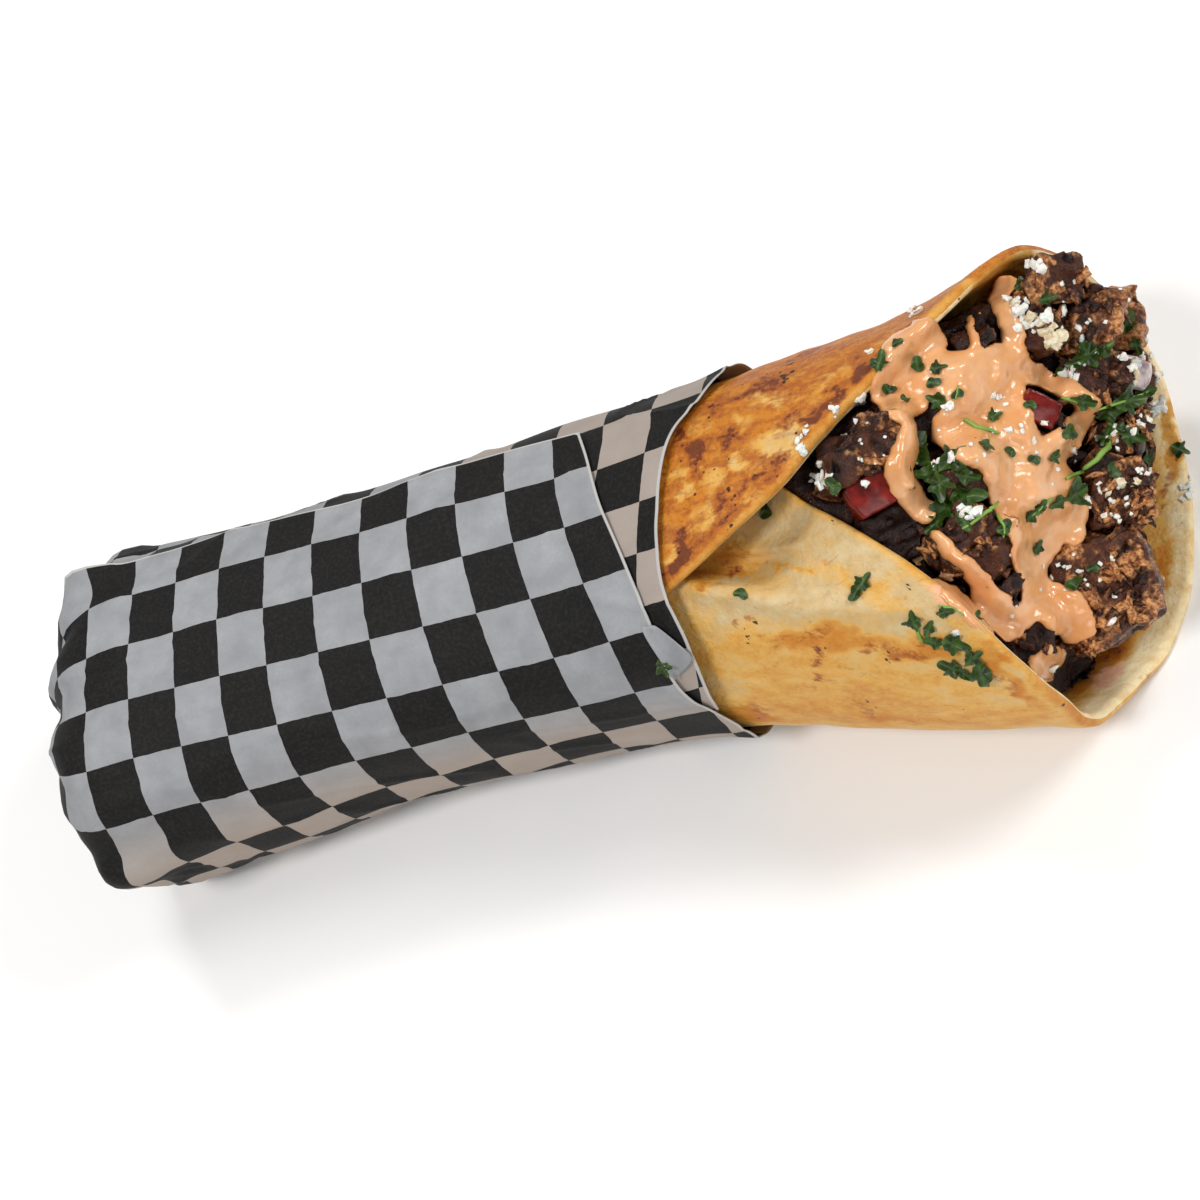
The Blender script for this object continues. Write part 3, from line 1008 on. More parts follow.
def lumpBall(segments=8, rings=6):  # a unit ball's rings of points and the faces between them
    points = [Vector((0, 0, -1))]
    for ring in range(1, rings):
        bend = math.pi * ring / rings
        for k in range(segments):
            turn = 2 * math.pi * (k + 0.5 * (ring % 2)) / segments
            wide = math.sin(bend)
            points.append(Vector((wide * math.cos(turn), wide * math.sin(turn), -math.cos(bend))))
    points.append(Vector((0, 0, 1)))
    faces = [(0, 1 + (k + 1) % segments, 1 + k) for k in range(segments)]
    for ring in range(rings - 2):
        base = 1 + ring * segments
        for k in range(segments):
            after = (k + 1) % segments
            faces.append((base + k, base + after, base + segments + after, base + segments + k))
    top = len(points) - 1
    faces += [(top, top - segments + k, top - segments + (k + 1) % segments) for k in range(segments)]
    return points, faces


def meshPiece(name, verts, faces):  # one piece from scattered lumps and leaves, its places in mm
    mesh = bpy.data.meshes.new(name)
    mesh.from_pydata([vert * mm for vert in verts], [], faces)
    mesh.validate()
    obj = bpy.data.objects.new(name, mesh)
    bpy.context.scene.collection.objects.link(obj)
    editAll(obj, bpy.ops.mesh.normals_make_consistent, inside=False)
    return obj


def makeShreds(material, carriers):
    rng = random.Random(shreds["seed"])
    tree = treeOf(carriers)
    ball, ballFaces = lumpBall()
    verts, faces, grains, cavities, pales = [], [], [], [], []
    for px, py, reachX, reachY, count in shreds["spread"]:
        for _ in range(count):
            x, y = rng.gauss(px, reachX * 0.5), rng.gauss(py, reachY * 0.5)
            spot, normal = castPixel(tree, x, y)
            long, thick = rng.uniform(*shreds["long"]), rng.uniform(*shreds["thick"])
            turn, pale, shift = rng.uniform(0, math.pi), rng.choice(shreds["pales"]), rng.uniform(0, 99)
            if spot is None or not insideMouth(spot):
                continue
            up = (normal + viewBack * 0.5).normalized()
            side = up.cross(viewWay(turn)).normalized()
            ahead = side.cross(up)
            base = len(verts)
            for point in ball:
                wave = noise.noise(point * shreds["roughScale"] + Vector((shift, 0, 0)))
                bow = shreds["bow"] * thick * math.sin(3 * point.x + shift)
                rise = point.z * thick * shreds["flat"] + thick * shreds["lift"]
                away = ahead * point.x * long / 2 + side * (point.y * thick + bow) + up * rise
                verts.append(spot + away * (1 + shreds["rough"] * wave))
                grains.append(min(max(0.6 + point.z * 0.3, 0), 1))
                cavities.append(0.3 if point.z < -0.2 else 0.0)
                pales.append(pale)
            faces += [tuple(base + k for k in face) for face in ballFaces]
    obj = meshPiece("meatShreds", verts, faces)
    paintPoints(obj, "grain", grains)
    paintPoints(obj, "cavity", cavities)
    paintPoints(obj, "pale", pales)
    finishPiece(obj, material, "meat")
    print("shreds:", len(obj.data.polygons), "faces")
    return obj


def redTomato():  # ripe tomato, diced: wet, glassy red flesh
    material, tree, shader = newMaterial("redTomato", {
        "Roughness": 0.2, "Specular IOR Level": 0.3, "Subsurface Weight": 0.15, "Subsurface Scale": 1.0 * mm})
    where = inMillimetres(tree)
    flesh = noiseOf(tree, where, 2.2, 4)
    colour = mixOf(tree, rampOf(tree, flesh, (0.35, 0.0), (0.7, 1.0)), "#4C0D0B", "#7E1E16")
    dress(tree, shader, colour, bumpOf(tree, flesh, 0.3, 0.2))
    return material


def redOnion():  # red onion, sliced: glassy white flesh with a purple skin side
    material, tree, shader = newMaterial("redOnion", {
        "Roughness": 0.3, "Subsurface Weight": 0.25, "Subsurface Scale": 1.0 * mm})
    where = inMillimetres(tree, stretch=(1, 0.4, 1))
    veins = noiseOf(tree, where, 1.4, 3)
    dress(tree, shader, mixOf(tree, rampOf(tree, veins, (0.42, 0.0), (0.7, 1.0)), "#D8CCC8", "#8A6A72"))
    return material


garnish = {"voxel": 0.35, "eases": 4}


def makeGarnish():
    tomato, onion = redTomato(), redOnion()
    made = []
    for node, name, material, slotName in (("tomato_1", "tomatoDie_1", tomato, "tomato"),
                                           ("tomato_2", "tomatoDie_2", tomato, "tomato"),
                                           ("onion_1", "onionSlice_1", onion, "onion"),
                                           ("onion_2", "onionSlice_2", onion, "onion")):
        obj = cadCopy(node, name)
        remeshed(obj, garnish["voxel"], garnish["eases"])
        made.append(finishPiece(obj, material, slotName, node))
    return made


sauce = {  # the drizzle, the pool and the drip
    "cell": 0.55, "thick": 2.1, "edge": 3.2, "sink": 1.0, "voxel": 0.42, "eases": 4, "spread": 0.7,
    "margin": 3, "castFrom": 80, "openDepth": -20.0, "bridges": (2, 1), "settles": 5, "leastCrown": 0.25,
    "strokes": (  # runs of X, Y and half width across the mouth
        ((-10, 32.4, 3.8), (-12.9, 28.1, 5.9), (-14.8, 23.3, 5.5), (-16.2, 19, 2.7)),
        ((1.4, 38.4, -0.1), (-0.2, 38.0, 0.0), (-1.3, 35.4, 0.05), (-0.9, 31.4, 0.5)),
        ((6.4, 44, 1.5), (4.7, 40.8, 0.9), (5.5, 37.2, 1.1), (7, 33.1, 1.6), (6.4, 30, 2.4), (7.1, 26.6, 2.4),
         (12.7, 26.3, 1.7), (18.4, 23.2, 1.6), (22.2, 20.6, 1.2)),
        ((-8.1, 26.8, 2.9), (-3.8, 27.2, 2.4), (1, 28, 2.8), (4.6, 29, 2.9)),
        ((-6.7, 22.4, 2.2), (-1.9, 23.4, 2.6), (3.8, 24.6, 2.6), (6.7, 24, 1.9)),
        ((-2.5, 19.8, 1.9), (1, 20.7, 2.4), (4.6, 18.8, 4), (7.3, 14.3, 3.3), (8.3, 10.5, 3.3)),
        ((-6.4, 18.5, 1.9), (-7.3, 14.9, 2.2), (-3.8, 11.4, 2.8), (2.9, 10.5, 3.3), (8.3, 10.5, 3.3)),
        ((-1.9, 15.2, 2.6), (2.9, 13.3, 3.3)),
        ((-14.3, 15.5, 1.3), (-15, 11.9, 2.4), (-16.9, 7.5, 2.2), (-14.7, 3.6, 2.6), (-11.4, 0.2, 1.9)),
        ((2.9, 7.9, 4), (7.3, 4.2, 6.9), (10.1, -1.2, 7.3), (9.1, -6.7, 4.8)),
        ((11.9, 10.5, 2.9), (17.4, 14.3, 2.9), (22, 20, 1.2)),
        ((13.7, 6, 4.8), (18.1, 2.4, 2.9), (17.4, -2.2, 3.3)),
        ((9.1, -6.7, 4.4), (9.7, -11.4, 3), (10.9, -15.2, 3.3), (15.5, -17.9, 4.4), (18.4, -20.6, 3.3)),
        ((-9.7, -4.2, 0.7), (-7.3, -7.6, 1.0), (-3.6, -10.1, 1.1), (-1.4, -13.1, 1.6), (1.2, -17.2, 2.9),
         (4.6, -20.2, 3.0), (8.0, -18.4, 2.3), (10.9, -15.9, 2.6))),
    "pool": (((10, -28.4, 2.2), (12.9, -27.8, 3), (15.3, -27, 2)),),
    "drip": (((-10.2, -13.4, 1), (-7, -15.4, 1.9), (-3.6, -18.4, 2.1), (-0.6, -21.6, 1.2)),),
}


def spicedMayonnaise():  # thick garlic and chilli dressing: opaque salmon orange, wet gloss
    material, tree, shader = newMaterial("spicedMayonnaise", {
        "Roughness": 0.2, "Subsurface Weight": 0.35, "Subsurface Scale": 1.5 * mm,
        "Subsurface Radius": (1.0, 0.5, 0.25), "Coat Weight": 0.4, "Coat Roughness": 0.08})
    where = inMillimetres(tree)
    thin = painted(tree, "thin")
    cloud = noiseOf(tree, where, 9, 3)
    body = mixOf(tree, rampOf(tree, cloud, (0.35, 0.0), (0.65, 1.0)), "#D7985F", "#E3AE7D")
    relief = bumpOf(tree, noiseOf(tree, where, 1.7, 4), 0.35, 0.5)
    dress(tree, shader, mixOf(tree, thin, body, "#D28C4C"), relief)
    return material


def strokeGap(x, y, strokes):  # how far a place lies outside the nearest stroke: below 0 inside it
    nearest = math.inf
    for run in strokes:
        for (ax, ay, aHalf), (bx, by, bHalf) in zip(run, run[1:]):
            dx, dy = bx - ax, by - ay
            share = min(max(((x - ax) * dx + (y - ay) * dy) / (dx * dx + dy * dy), 0.0), 1.0)
            away = math.hypot(x - ax - share * dx, y - ay - share * dy)
            nearest = min(nearest, away - aHalf - share * (bHalf - aHalf))
    return nearest


def makeSauce(name, strokes, node, below, material):
    cell, margin = sauce["cell"], sauce["margin"]
    tree = treeOf(below)
    left = min(p[0] - p[2] for run in strokes for p in run) - margin
    foot = min(p[1] - p[2] for run in strokes for p in run) - margin
    wide = math.ceil((max(p[0] + p[2] for run in strokes for p in run) + margin - left) / cell)
    tall = math.ceil((max(p[1] + p[2] for run in strokes for p in run) + margin - foot) / cell)
    heights = {}
    for i in range(wide + 1):
        for j in range(tall + 1):
            hit = tree.ray_cast(inMouth(left + i * cell, foot + j * cell, sauce["castFrom"]), -viewBack)[0]
            heights[i, j] = (hit - mouthMiddle).dot(viewBack) if hit else sauce["openDepth"]
    full = dict(heights)
    for reach in sauce["bridges"]:  # thick sauce bridges what is narrower than itself
        grown = {}
        for (i, j), high in full.items():
            near = [full.get((i + a * reach, j + b * reach), high) for a in (-1, 0, 1) for b in (-1, 0, 1)]
            grown[i, j] = 0.5 * max(near) + 0.5 * sum(near) / len(near)
        full = grown
    for _ in range(sauce["settles"]):
        full = {(i, j): sum(full.get((i + a, j + b), high) for a in (-1, 0, 1) for b in (-1, 0, 1)) / 9
                for (i, j), high in full.items()}
    obj, keys = gridPiece(name, wide, tall)
    made = bmesh.new()
    made.from_mesh(obj.data)
    drop = []
    for vert, (i, j) in zip(made.verts, keys):
        x, y = left + i * cell, foot + j * cell
        wavy = 0.5 * noise.noise(Vector((x / 3.1, y / 3.1, 4)))
        wavy += 0.25 * noise.noise(Vector((x / 1.3, y / 1.3, 9)))
        gap = strokeGap(x, y, strokes) + wavy - sauce["spread"]
        if gap > 0:
            drop.append(vert)
            continue
        crown = sauce["thick"] * math.sqrt(max(1 - (1 - min(-gap / sauce["edge"], 1)) ** 2, 0))
        crown *= 0.85 + 0.5 * noise.noise(Vector((x / 6, y / 6, 2)))
        crown *= 1 + 0.36 * noise.noise(Vector((x / 2.3, y / 2.3, 6))) + 0.14 * noise.noise(Vector((x, y, 8)))
        rest = max(full[i, j], heights[i, j] - 1.0)
        vert.co = inMouth(x, y, rest + max(crown, sauce["leastCrown"])) * mm
    bmesh.ops.delete(made, geom=drop, context="VERTS")
    skin = bmesh.ops.extrude_face_region(made, geom=made.faces[:], use_keep_orig=True)["geom"]
    lower = [item for item in skin if isinstance(item, bmesh.types.BMVert)]
    for vert in lower:
        vert.co -= viewBack * (sauce["thick"] + sauce["sink"]) * mm
    bmesh.ops.recalc_face_normals(made, faces=made.faces)
    made.to_mesh(obj.data)
    made.free()
    remeshed(obj, sauce["voxel"], sauce["eases"])
    thin = []
    for vert in obj.data.vertices:
        place = vert.co / mm - mouthMiddle
        gap = strokeGap(place.dot(viewRight), place.dot(viewUp), strokes) - sauce["spread"]
        thin.append(0.85 * smoothStep(-1.5, 0.4, gap))
    paintPoints(obj, "thin", thin)
    finishPiece(obj, material, "sauce", node)
    print("sauce:", name, len(obj.data.polygons), "faces")
    return obj


greens = {  # chopped parsley: clumps, flakes and stems
    "seed": 11, "thick": 0.16, "lift": 0.12, "segments": 44, "grow": 0.93, "chipBelow": 3.5,
    "phase": (0, 6), "bow": (-0.06, 0.16), "curl": (0.0, 0.3), "fold": 0.4, "wave": 0.13,
    "vein": 0.16, "veinWidth": 0.05, "edgePale": 0.08, "fewBelow": 3.4, "rings": (0.0, 0.34, 0.68, 1.0),
    "castFrom": 8, "openDepth": -3.0,
    "stemSides": 8, "stemSteps": 6, "stemEases": 3, "stemLift": 0.35,
    # leaflets of each clump: middle X and Y in the photograph, length in mm, the way its tip points, kind
    "clumps": {
        1: ((921, 464, 10.5, 138, "trefoil"), (950, 463, 8.0, 40, "trefoil"), (918, 480, 6.5, 190, "lobe"),
            (940, 484, 7.0, 280, "trefoil"), (966, 476, 5.5, -10, "lobe")),
        2: ((948, 513, 8.5, 118, "trefoil"), (966, 494, 8.0, 12, "lobe"), (938, 523, 5.5, 215, "lobe"),
            (963, 520, 5.0, 300, "lobe")),
        3: ((1088, 356, 8.5, 8, "trefoil"), (1104, 351, 5.0, 40, "lobe"), (1077, 363, 4.5, 190, "lobe")),
        4: ((1084, 401, 6.0, -12, "lobe"), (1106, 409, 7.5, 20, "trefoil"), (1126, 401, 8.0, 8, "trefoil"),
            (1146, 391, 5.0, 14, "lobe"), (1116, 416, 5.0, -20, "lobe")),
        5: ((1106, 437, 5.0, 60, "lobe"),),
        6: ((1074, 495, 8.0, 24, "trefoil"), (1058, 502, 5.0, 200, "lobe"), (1030, 516, 4.5, 40, "lobe"),
            (1040, 508, 4.0, 60, "lobe")),
        7: ((1129, 436, 6.5, -18, "trefoil"), (1118, 430, 4.5, 150, "lobe")),
        8: ((879, 364, 5.5, 75, "trefoil"),),
        9: ((862, 584, 4.8, 55, "trefoil"), (855, 594, 3.2, 240, "lobe")),
        10: ((914, 622, 5.0, 108, "trefoil"), (944, 612, 4.0, 15, "lobe"), (952, 643, 6.5, -12, "trefoil"),
             (935, 642, 4.5, 170, "lobe"), (929, 628, 4.0, 250, "lobe")),
        11: ((953, 668, 6.0, 155, "trefoil"), (964, 673, 4.0, 320, "lobe")),
        12: ((981, 672, 7.5, -80, "lobe"), (972, 658, 5.5, 48, "trefoil")),
    },
    "flakes": ((887, 390, 3.0, -60, "lobe"), (897, 343, 2.4, 20, "trefoil"), (918, 366, 3.6, 100, "trefoil"),
               (936, 369, 4.2, 10, "trefoil"), (933, 383, 3.0, -20, "lobe"), (939, 402, 5.0, 160, "trefoil"),
               (957, 394, 2.6, 80, "lobe"), (993, 417, 3.8, 30, "trefoil"), (985, 446, 4.2, -10, "lobe"),
               (1045, 299, 4.6, 15, "trefoil"), (1150, 287, 5.2, -14, "lobe"), (1146, 308, 5.0, 84, "lobe"),
               (1126, 326, 6.5, 60, "trefoil"), (1136, 345, 4.4, -70, "lobe"), (1068, 434, 5.4, 60, "trefoil"),
               (1053, 457, 3.8, 10, "trefoil"), (1034, 460, 2.6, 60, "lobe"), (1146, 459, 4.4, 100, "lobe"),
               (1036, 549, 4.0, 55, "trefoil"), (766, 511, 3.6, -18, "lobe"), (741, 594, 3.0, -14, "lobe"),
               (1178, 449, 5.2, -20, "trefoil"), (1073, 585, 3.6, -58, "lobe"), (1020, 286, 3.0, 20, "lobe"),
               (977, 617, 2.2, 20, "lobe"), (663, 666, 5.0, -65, "trefoil"), (833, 486, 3.6, 10, "lobe"),
               (1003, 528, 3.4, -60, "lobe"), (1112, 470, 3.2, 60, "lobe"), (1092, 568, 2.6, 20, "lobe"),
               (1030, 405, 2.6, 20, "lobe"), (905, 400, 2.0, 50, "lobe"), (1060, 372, 2.2, 100, "lobe"),
               (1010, 452, 2.4, 0, "lobe")),
    "stems": (  # thickness in mm and the places it runs through in the photograph
        (1.15, ((1113, 431), (1107, 446), (1096, 460), (1079, 472), (1063, 480))),
        (0.75, ((998, 502), (986, 512), (971, 524), (960, 530))),
        (0.7, ((1060, 398), (1078, 402), (1098, 410))), (0.6, ((1098, 410), (1125, 401), (1152, 390))),
        (0.6, ((1052, 498), (1040, 509), (1028, 519))),
        (0.7, ((915, 627), (921, 640), (935, 647), (950, 645))),
        (0.5, ((938, 606), (953, 608), (966, 617))), (0.6, ((996, 514), (1004, 526), (1003, 540))),
        (0.9, ((964, 419), (976, 427), (990, 430), (1001, 434))), (0.5, ((955, 400), (957, 391), (958, 384))),
        (0.5, ((1134, 283), (1150, 285), (1160, 287)))),
}


def flatLeafParsley():  # parsley, freshly chopped: dark green with paler veins and a waxy sheen
    material, tree, shader = newMaterial("flatLeafParsley", {
        "Roughness": 0.38, "Specular IOR Level": 0.35,
        "Subsurface Weight": 0.08, "Subsurface Scale": 0.6 * mm})
    where = inMillimetres(tree)
    pale = painted(tree, "pale")
    shade = noiseOf(tree, where, 1.6, 4)
    leaf = mixOf(tree, rampOf(tree, shade, (0.35, 0.0), (0.68, 1.0)), "#122206", "#2F4D13")
    relief = bumpOf(tree, noiseOf(tree, where, 0.7, 3), 0.4, 0.15)
    dress(tree, shader, mixOf(tree, pale, leaf, "#7FA548"), relief)
    return material


def leafReach(kind, turn, phase):  # how far the leaflet reaches this way from its middle, for a length of 1
    if kind == "chip":  # a small chopped bit
        return 0.42 + 0.1 * math.sin(2 * turn + phase) + 0.07 * math.sin(3 * turn + 2 * phase)
    lobes = {"trefoil": ((0.0, 0.55, 0.6), (1.2, 0.46, 0.52), (-1.2, 0.42, 0.54), (math.pi, 0.4, 0.32)),
             "lobe": ((0.0, 0.53, 0.76), (math.pi, 0.45, 0.64))}[kind]
    reach = 0.0
    for way, far, wide in lobes:
        away = (turn - way + math.pi) % (2 * math.pi) - math.pi
        reach = max(reach, far * math.exp(-((away / wide) ** 2)))
    teeth = 1 - 0.1 * (0.5 + 0.5 * math.cos(turn * 9 + phase)) + 0.1 * math.sin(turn * 3 + 2 * phase)
    return max(reach, 0.29) * teeth


def addLeaf(tree, spot, normal, length, turn, kind, rng, verts, faces, pales):
    up = (normal * 0.6 + viewBack * 0.6).normalized()
    ahead = viewWay(math.radians(turn))
    ahead = (ahead - up * ahead.dot(up)).normalized()
    side = up.cross(ahead)
    length *= greens["grow"]
    kind = "chip" if length < greens["chipBelow"] else kind
    segments = greens["segments"] if length > greens["fewBelow"] else greens["segments"] // 2
    phase, bow, curl = (rng.uniform(*greens[key]) for key in ("phase", "bow", "curl"))
    rings = greens["rings"]
    flat, folds, veins = [], [], []
    for ring in rings:
        for k in range(1 if ring == 0 else segments):
            angle = 2 * math.pi * k / segments
            reach = ring * leafReach(kind, angle, phase) * length
            x, y = reach * math.cos(angle), reach * math.sin(angle)
            flat.append((x, y))
            fold = greens["fold"] * abs(y) - bow * x * x / length
            fold += greens["wave"] * length * ring * ring * math.sin(3 * angle + phase)
            folds.append(fold + curl * 0.4 * ring ** 3 * max(math.sin(2 * angle + phase), 0) * length * 0.3)
            vein = greens["vein"] * math.exp(-((abs(y) / (greens["veinWidth"] * length)) ** 2))
            veins.append(vein + greens["edgePale"] * ring ** 4)
    heights = []
    for x, y in flat:
        hit = tree.ray_cast(spot + ahead * x + side * y + up * greens["castFrom"], -up)[0]
        heights.append((hit - spot).dot(up) if hit else greens["openDepth"])
    middle = sorted(heights)[len(heights) * 2 // 3]
    heights = [min(max(high, middle - 1.2), middle + 1.4) for high in heights]
    base = len(verts)
    count = len(flat)
    thick = greens["thick"]
    for level in (thick, 0.0):
        for (x, y), fold, high in zip(flat, folds, heights):
            rest = max(0.35 * high + 0.65 * middle + max(fold, -0.1), high)
            verts.append(spot + ahead * x + side * y + up * (rest + greens["lift"] + level))
    pales += veins * 2
    for top in (0, 1):
        first = base + top * count
        for k in range(segments):
            after = (k + 1) % segments
            corner = (first, first + 1 + k, first + 1 + after)
            faces.append(corner if top == 0 else corner[::-1])
            for ring in range(len(rings) - 2):
                a = first + 1 + ring * segments
                quad = (a + k, a + segments + k, a + segments + after, a + after)
                faces.append(quad if top == 0 else quad[::-1])
    rim = base + 1 + (len(rings) - 2) * segments
    for k in range(segments):
        after = (k + 1) % segments
        faces.append((rim + k, rim + count + k, rim + count + after, rim + after))


def addStem(tree, thick, places, verts, faces, pales):  # a thin stem that lies over what is under it
    spots, steps = [], greens["stemSteps"]
    for (ax, ay), (bx, by) in zip(places, places[1:]):
        for step in range(steps):
            hit = castPixel(tree, ax + (bx - ax) * step / steps, ay + (by - ay) * step / steps)[0]
            if hit is not None:
                spots.append(hit)
    if len(spots) < 3:
        return
    depths = [spot.dot(viewBack) for spot in spots]
    for _ in range(greens["stemEases"]):
        depths = [max(high, (depths[max(k - 1, 0)] + depths[min(k + 1, len(depths) - 1)]) / 2)
                  for k, high in enumerate(depths)]
    spots = [spot + viewBack * (high - spot.dot(viewBack) + thick * greens["stemLift"])
             for spot, high in zip(spots, depths)]
    around, base = greens["stemSides"], len(verts)
    for k, spot in enumerate(spots):
        ahead = (spots[min(k + 1, len(spots) - 1)] - spots[max(k - 1, 0)]).normalized()
        side = ahead.cross(viewBack).normalized()
        up = side.cross(ahead)
        share = min((k + 1) / (len(spots) + 1) * 1.3, 0.5 + k / len(spots) * 0.5)
        taper = 0.5 + 0.5 * math.sin(math.pi * share)
        for j in range(around):
            turn = 2 * math.pi * j / around
            verts.append(spot + (side * math.cos(turn) + up * math.sin(turn)) * thick / 2 * taper)
            pales.append(0.75 + 0.2 * math.sin(turn))
    for k in range(len(spots) - 1):
        for j in range(around):
            a, b = base + k * around, base + (k + 1) * around
            after = (j + 1) % around
            faces.append((a + j, a + after, b + after, b + j))
    faces.append(tuple(base + j for j in range(around))[::-1])
    faces.append(tuple(base + (len(spots) - 1) * around + j for j in range(around)))


def makeGreens(carriers):
    rng = random.Random(greens["seed"])
    tree = treeOf(carriers)
    material = flatLeafParsley()
    made = []

    def leaves(name, leaflets, *nodes):
        verts, faces, pales = [], [], []
        for px, py, length, turn, kind in leaflets:
            spot, normal = castPixel(tree, px, py)
            if spot is not None:
                addLeaf(tree, spot, normal, length, turn, kind, rng, verts, faces, pales)
        obj = meshPiece(name, verts, faces)
        paintPoints(obj, "pale", pales)
        made.append(finishPiece(obj, material, "parsley", *nodes, sharpFrom=60))

    for number, leaflets in greens["clumps"].items():
        leaves(f"parsleyClump_{number:02d}", leaflets, f"parsley_{number:02d}")
    leaves("parsleyFlakes", greens["flakes"])
    verts, faces, pales = [], [], []
    for thick, places in greens["stems"]:
        addStem(tree, thick, places, verts, faces, pales)
    obj = meshPiece("parsleyStems", verts, faces)
    paintPoints(obj, "pale", pales)
    made.append(finishPiece(obj, material, "parsley"))
    print("parsley:", sum(len(obj.data.polygons) for obj in made), "faces")
    return made


crumbs = {  # middle in the photograph, size in mm, reach in the photograph and how many
    "seed": 3, "shrink": 0.62, "widths": (0.55, 1.15), "lengths": (1.0, 1.7),
    "rough": 0.8, "roughScale": 1.1, "boxy": 0.6, "flat": 0.7, "lift": 0.22, "sharpFrom": 42,
    "white": ((911, 312, 2.3, 9, 4, 4), (870, 352, 1.7, 4, 2, 1), (858, 400, 1.6, 12, 5, 6),
              (835, 412, 1.4, 8, 4, 4), (806, 432, 1.3, 5, 6, 4), (803, 452, 1.6, 5, 12, 6),
              (820, 463, 2.0, 4, 3, 2), (823, 480, 1.9, 9, 7, 8), (866, 484, 1.6, 3, 1, 2),
              (813, 475, 1.2, 5, 9, 4),
              (1036, 266, 2.6, 8, 5, 4), (1064, 312, 2.4, 4, 3, 2), (1044, 317, 2.8, 5, 5, 3),
              (1018, 306, 2.4, 10, 8, 8), (1028, 324, 2.0, 12, 8, 8), (1083, 338, 1.4, 8, 4, 3),
              (1085, 361, 1.3, 10, 4, 4), (1070, 373, 2.5, 9, 6, 5), (1121, 358, 1.9, 3, 3, 2),
              (1135, 364, 2.0, 9, 8, 6), (1158, 376, 1.7, 6, 8, 4), (1157, 408, 2.1, 10, 8, 7),
              (1141, 416, 1.7, 8, 8, 5), (1132, 431, 1.9, 5, 4, 3), (1146, 474, 1.5, 8, 6, 6),
              (945, 407, 2.3, 8, 5, 3), (966, 512, 2.8, 9, 5, 4), (940, 460, 2.2, 14, 5, 4),
              (955, 633, 2.0, 4, 3, 2), (1110, 621, 2.7, 1, 1, 1), (1051, 668, 3.4, 1, 1, 1),
              (1087, 501, 1.7, 5, 4, 3), (1186, 488, 2.1, 6, 12, 9), (1073, 450, 1.2, 50, 40, 12),
              (1110, 500, 1.3, 26, 22, 16), (1064, 567, 1.5, 7, 4, 3), (1079, 571, 1.8, 2, 1, 1),
              (1090, 320, 1.2, 40, 40, 14), (1150, 340, 1.6, 10, 20, 7), (860, 440, 1.0, 30, 24, 12),
              (1040, 590, 1.0, 50, 40, 8), (993, 395, 1.6, 20, 10, 5), (1010, 430, 1.4, 24, 16, 6),
              (984, 455, 1.2, 20, 12, 4), (1085, 580, 1.1, 30, 30, 8), (1107, 435, 1.6, 14, 12, 6),
              (922, 470, 1.4, 8, 8, 3)),
    "tan": ((917, 563, 2.9, 3, 2, 2), (945, 578, 2.6, 5, 3, 3)),
    "soft": ((1048, 336, 3.2, 12, 9, 6), (1040, 322, 2.4, 14, 10, 4), (1012, 308, 2.4, 8, 6, 2),
             (1134, 372, 2.4, 14, 10, 4), (1122, 482, 2.4, 16, 14, 4), (1047, 418, 2.4, 8, 14, 5)),
}


def crumbledCheese(name, first, second):  # dry crumbs of cheese or fried crust: chalky, faintly translucent
    material, tree, shader = newMaterial(name, {
        "Roughness": 0.6, "Subsurface Weight": 0.25, "Subsurface Scale": 0.8 * mm})
    where = inMillimetres(tree)
    grain = noiseOf(tree, where, 0.8, 4)
    colour = mixOf(tree, rampOf(tree, grain, (0.35, 0.0), (0.65, 1.0)), first, second)
    dress(tree, shader, colour, bumpOf(tree, grain, 0.5, 0.2))
    return material


def makeCrumbs(name, spread, material, slotName, carriers):
    rng = random.Random(crumbs["seed"])
    tree = treeOf(carriers)
    ball, ballFaces = lumpBall()
    verts, faces = [], []
    for px, py, size, reachX, reachY, count in spread:
        for k in range(count):
            x, y = px, py
            if k > 0:
                x, y = rng.uniform(px - reachX, px + reachX), rng.uniform(py - reachY, py + reachY)
            spot, normal = castPixel(tree, x, y)
            wide = size * rng.uniform(*crumbs["widths"]) * crumbs["shrink"]
            long = wide * rng.uniform(*crumbs["lengths"])
            shift, turn = rng.uniform(0, 99), rng.uniform(0, math.pi)
            if spot is None:
                continue
            side = normal.cross(viewWay(turn)).normalized()
            ahead = side.cross(normal)
            base = len(verts)
            for point in ball:  # crumbs break with flattish sides
                wave = noise.noise(point * crumbs["roughScale"] + Vector((shift, shift, 0)))
                box = point / max(abs(point.x), abs(point.y), abs(point.z)) ** crumbs["boxy"]
                corner = ahead * box.x * long + side * box.y * wide + normal * box.z * wide * crumbs["flat"]
                corner *= 1 + crumbs["rough"] * wave
                verts.append(spot + corner / 2 + normal * wide * crumbs["lift"])
            faces += [tuple(base + k for k in face) for face in ballFaces]
    obj = meshPiece(name, verts, faces)
    finishPiece(obj, material, slotName, sharpFrom=crumbs["sharpFrom"])
    print(name, len(obj.data.polygons), "faces")
    return obj


studio = {  # the floor, the sky and the lights
    "floor": "#F6F5F4", "floorSize": 40.0, "sky": "#FFFFFF", "skyStrength": 0.3,
    "lights": (  # where each soft box stands from the wrap and its size, in metres, and its power in watts
        ("keyLight", (-0.42, -0.6, 1.45), 0.4, 12.5), ("fillLight", (0.6, -1.2, 0.9), 0.8, 4.5),
        ("mouthLight", (1.0, 0.25, 0.95), 0.5, 7.3), ("backLight", (-0.3, 0.75, 1.25), 0.45, 6.5)),
}


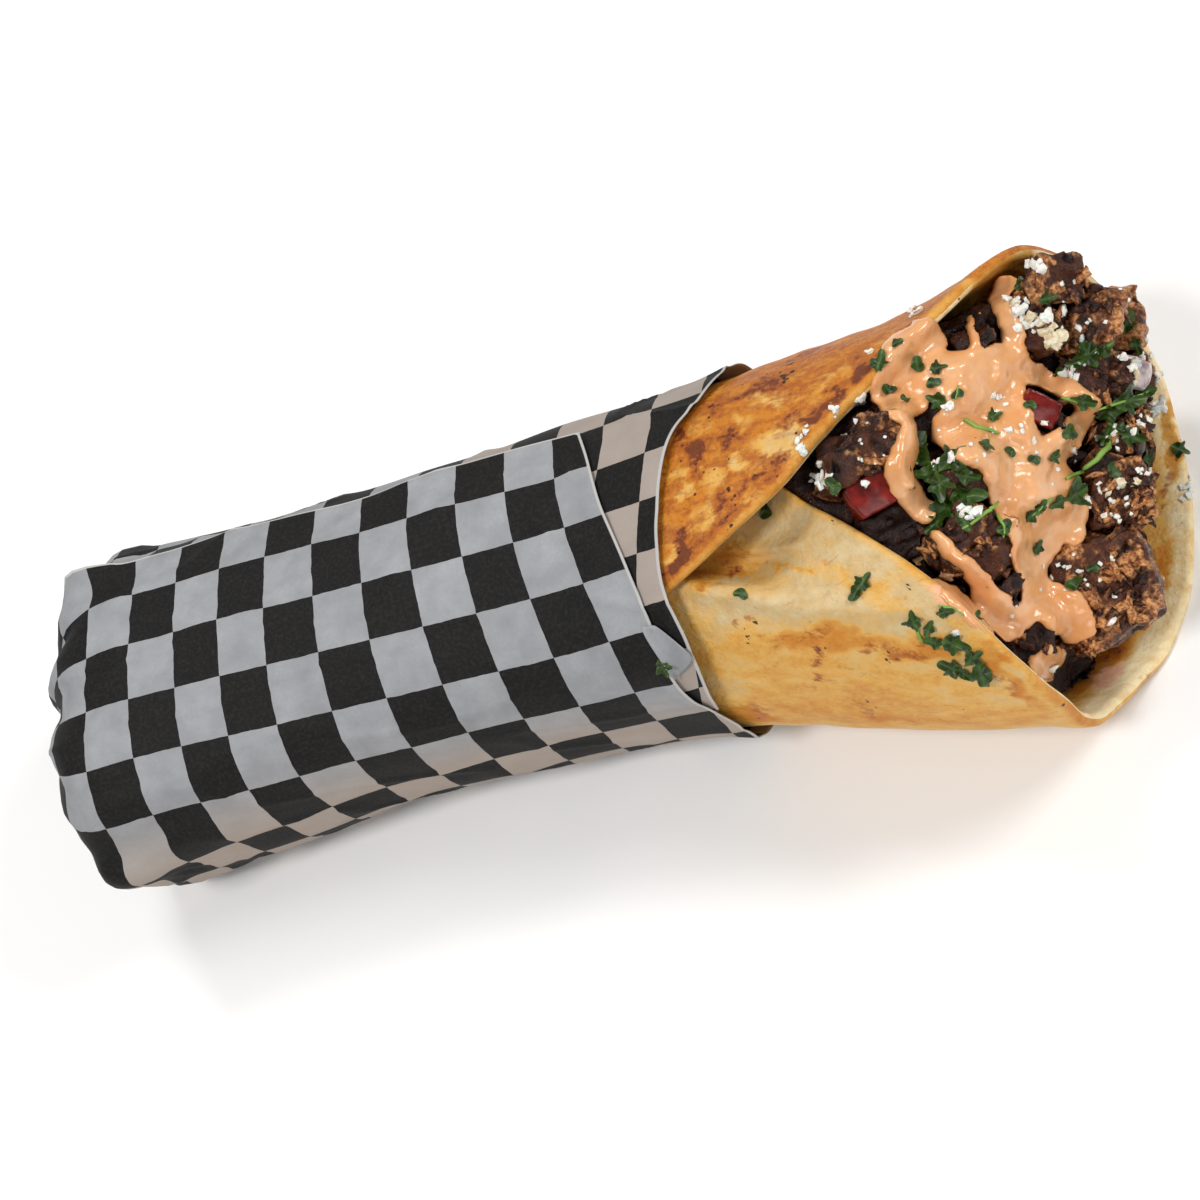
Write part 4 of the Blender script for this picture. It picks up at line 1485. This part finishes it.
def makeStudio():
    clearSelection()
    bpy.ops.mesh.primitive_plane_add(size=studio["floorSize"], location=(0, 0, -0.0002))
    floor = settle(named("studioFloor"))
    board = newMaterial("paintedBoard", {"Roughness": 0.85, "Base Color": linear(studio["floor"])})[0]
    floor.data.materials.append(board)
    for name, place, size, power in studio["lights"]:
        bpy.ops.object.light_add(type="AREA", location=place)
        lamp = bpy.context.object
        lamp.name = name
        lamp.data.shape = "DISK"
        lamp.data.size = size
        lamp.data.energy = power
        lamp.rotation_euler = (-Vector(place)).to_track_quat("-Z", "Y").to_euler()
    world = bpy.data.worlds.new("paleRoom")
    world.use_nodes = True
    sky = world.node_tree.nodes["Background"]
    sky.inputs["Color"].default_value = linear(studio["sky"])
    sky.inputs["Strength"].default_value = studio["skyStrength"]
    bpy.context.scene.world = world
    bpy.context.scene.view_settings.view_transform = "Standard"
    camera = bpy.data.cameras.new("photoCamera")
    camera.lens, camera.sensor_width = photoView["lens"], photoView["sensor"]
    camera.sensor_fit = "HORIZONTAL"
    camera.clip_start, camera.clip_end = 0.01, 20
    holder = bpy.data.objects.new("photoCamera", camera)
    bpy.context.scene.collection.objects.link(holder)
    turn = Matrix((viewRight, viewUp, viewBack)).transposed()
    holder.matrix_world = Matrix.Translation(eye * mm) @ turn.to_4x4()
    bpy.context.scene.camera = holder
    print("studio: floor, lights and camera")


makeStudio()
breadPiece = makeBread()
paperMaterial = checkedDeliPaper()
paperPiece = makePaper(paperMaterial)
cornerPiece = makeTornCorner([breadPiece, paperPiece], paperMaterial)
meatMaterial = grilledMeat()
dicePieces = makeDice(meatMaterial)
packedPiece = makePacked(meatMaterial, breadPiece)
garnishPieces = makeGarnish()
carriers = [breadPiece, packedPiece, *dicePieces, *garnishPieces]
carriers.append(makeShreds(meatMaterial, [packedPiece, *dicePieces]))
sauceMaterial = spicedMayonnaise()
saucePieces = [makeSauce("sauceDrizzle", sauce["strokes"], "sauce", carriers, sauceMaterial),
               makeSauce("saucePool", sauce["pool"], "sauce_pool", carriers, sauceMaterial),
               makeSauce("sauceDrip", sauce["drip"], "sauce_drip", carriers, sauceMaterial)]
carriers += saucePieces
makeGreens([*carriers, paperPiece, cornerPiece])
makeCrumbs("cheeseCrumbs", crumbs["white"], crumbledCheese("crumbledCheese", "#D5D0C4", "#F2EFE8"),
           "sauce", carriers)
makeCrumbs("softCheese", crumbs["soft"], crumbledCheese("softCheese", "#C4AE86", "#E6DBC0"),
           "sauce", [*dicePieces, packedPiece])
makeCrumbs("crustCrumbs", crumbs["tan"], crumbledCheese("friedCrumbs", "#A9784E", "#D2A77C"),
           "bread", carriers)
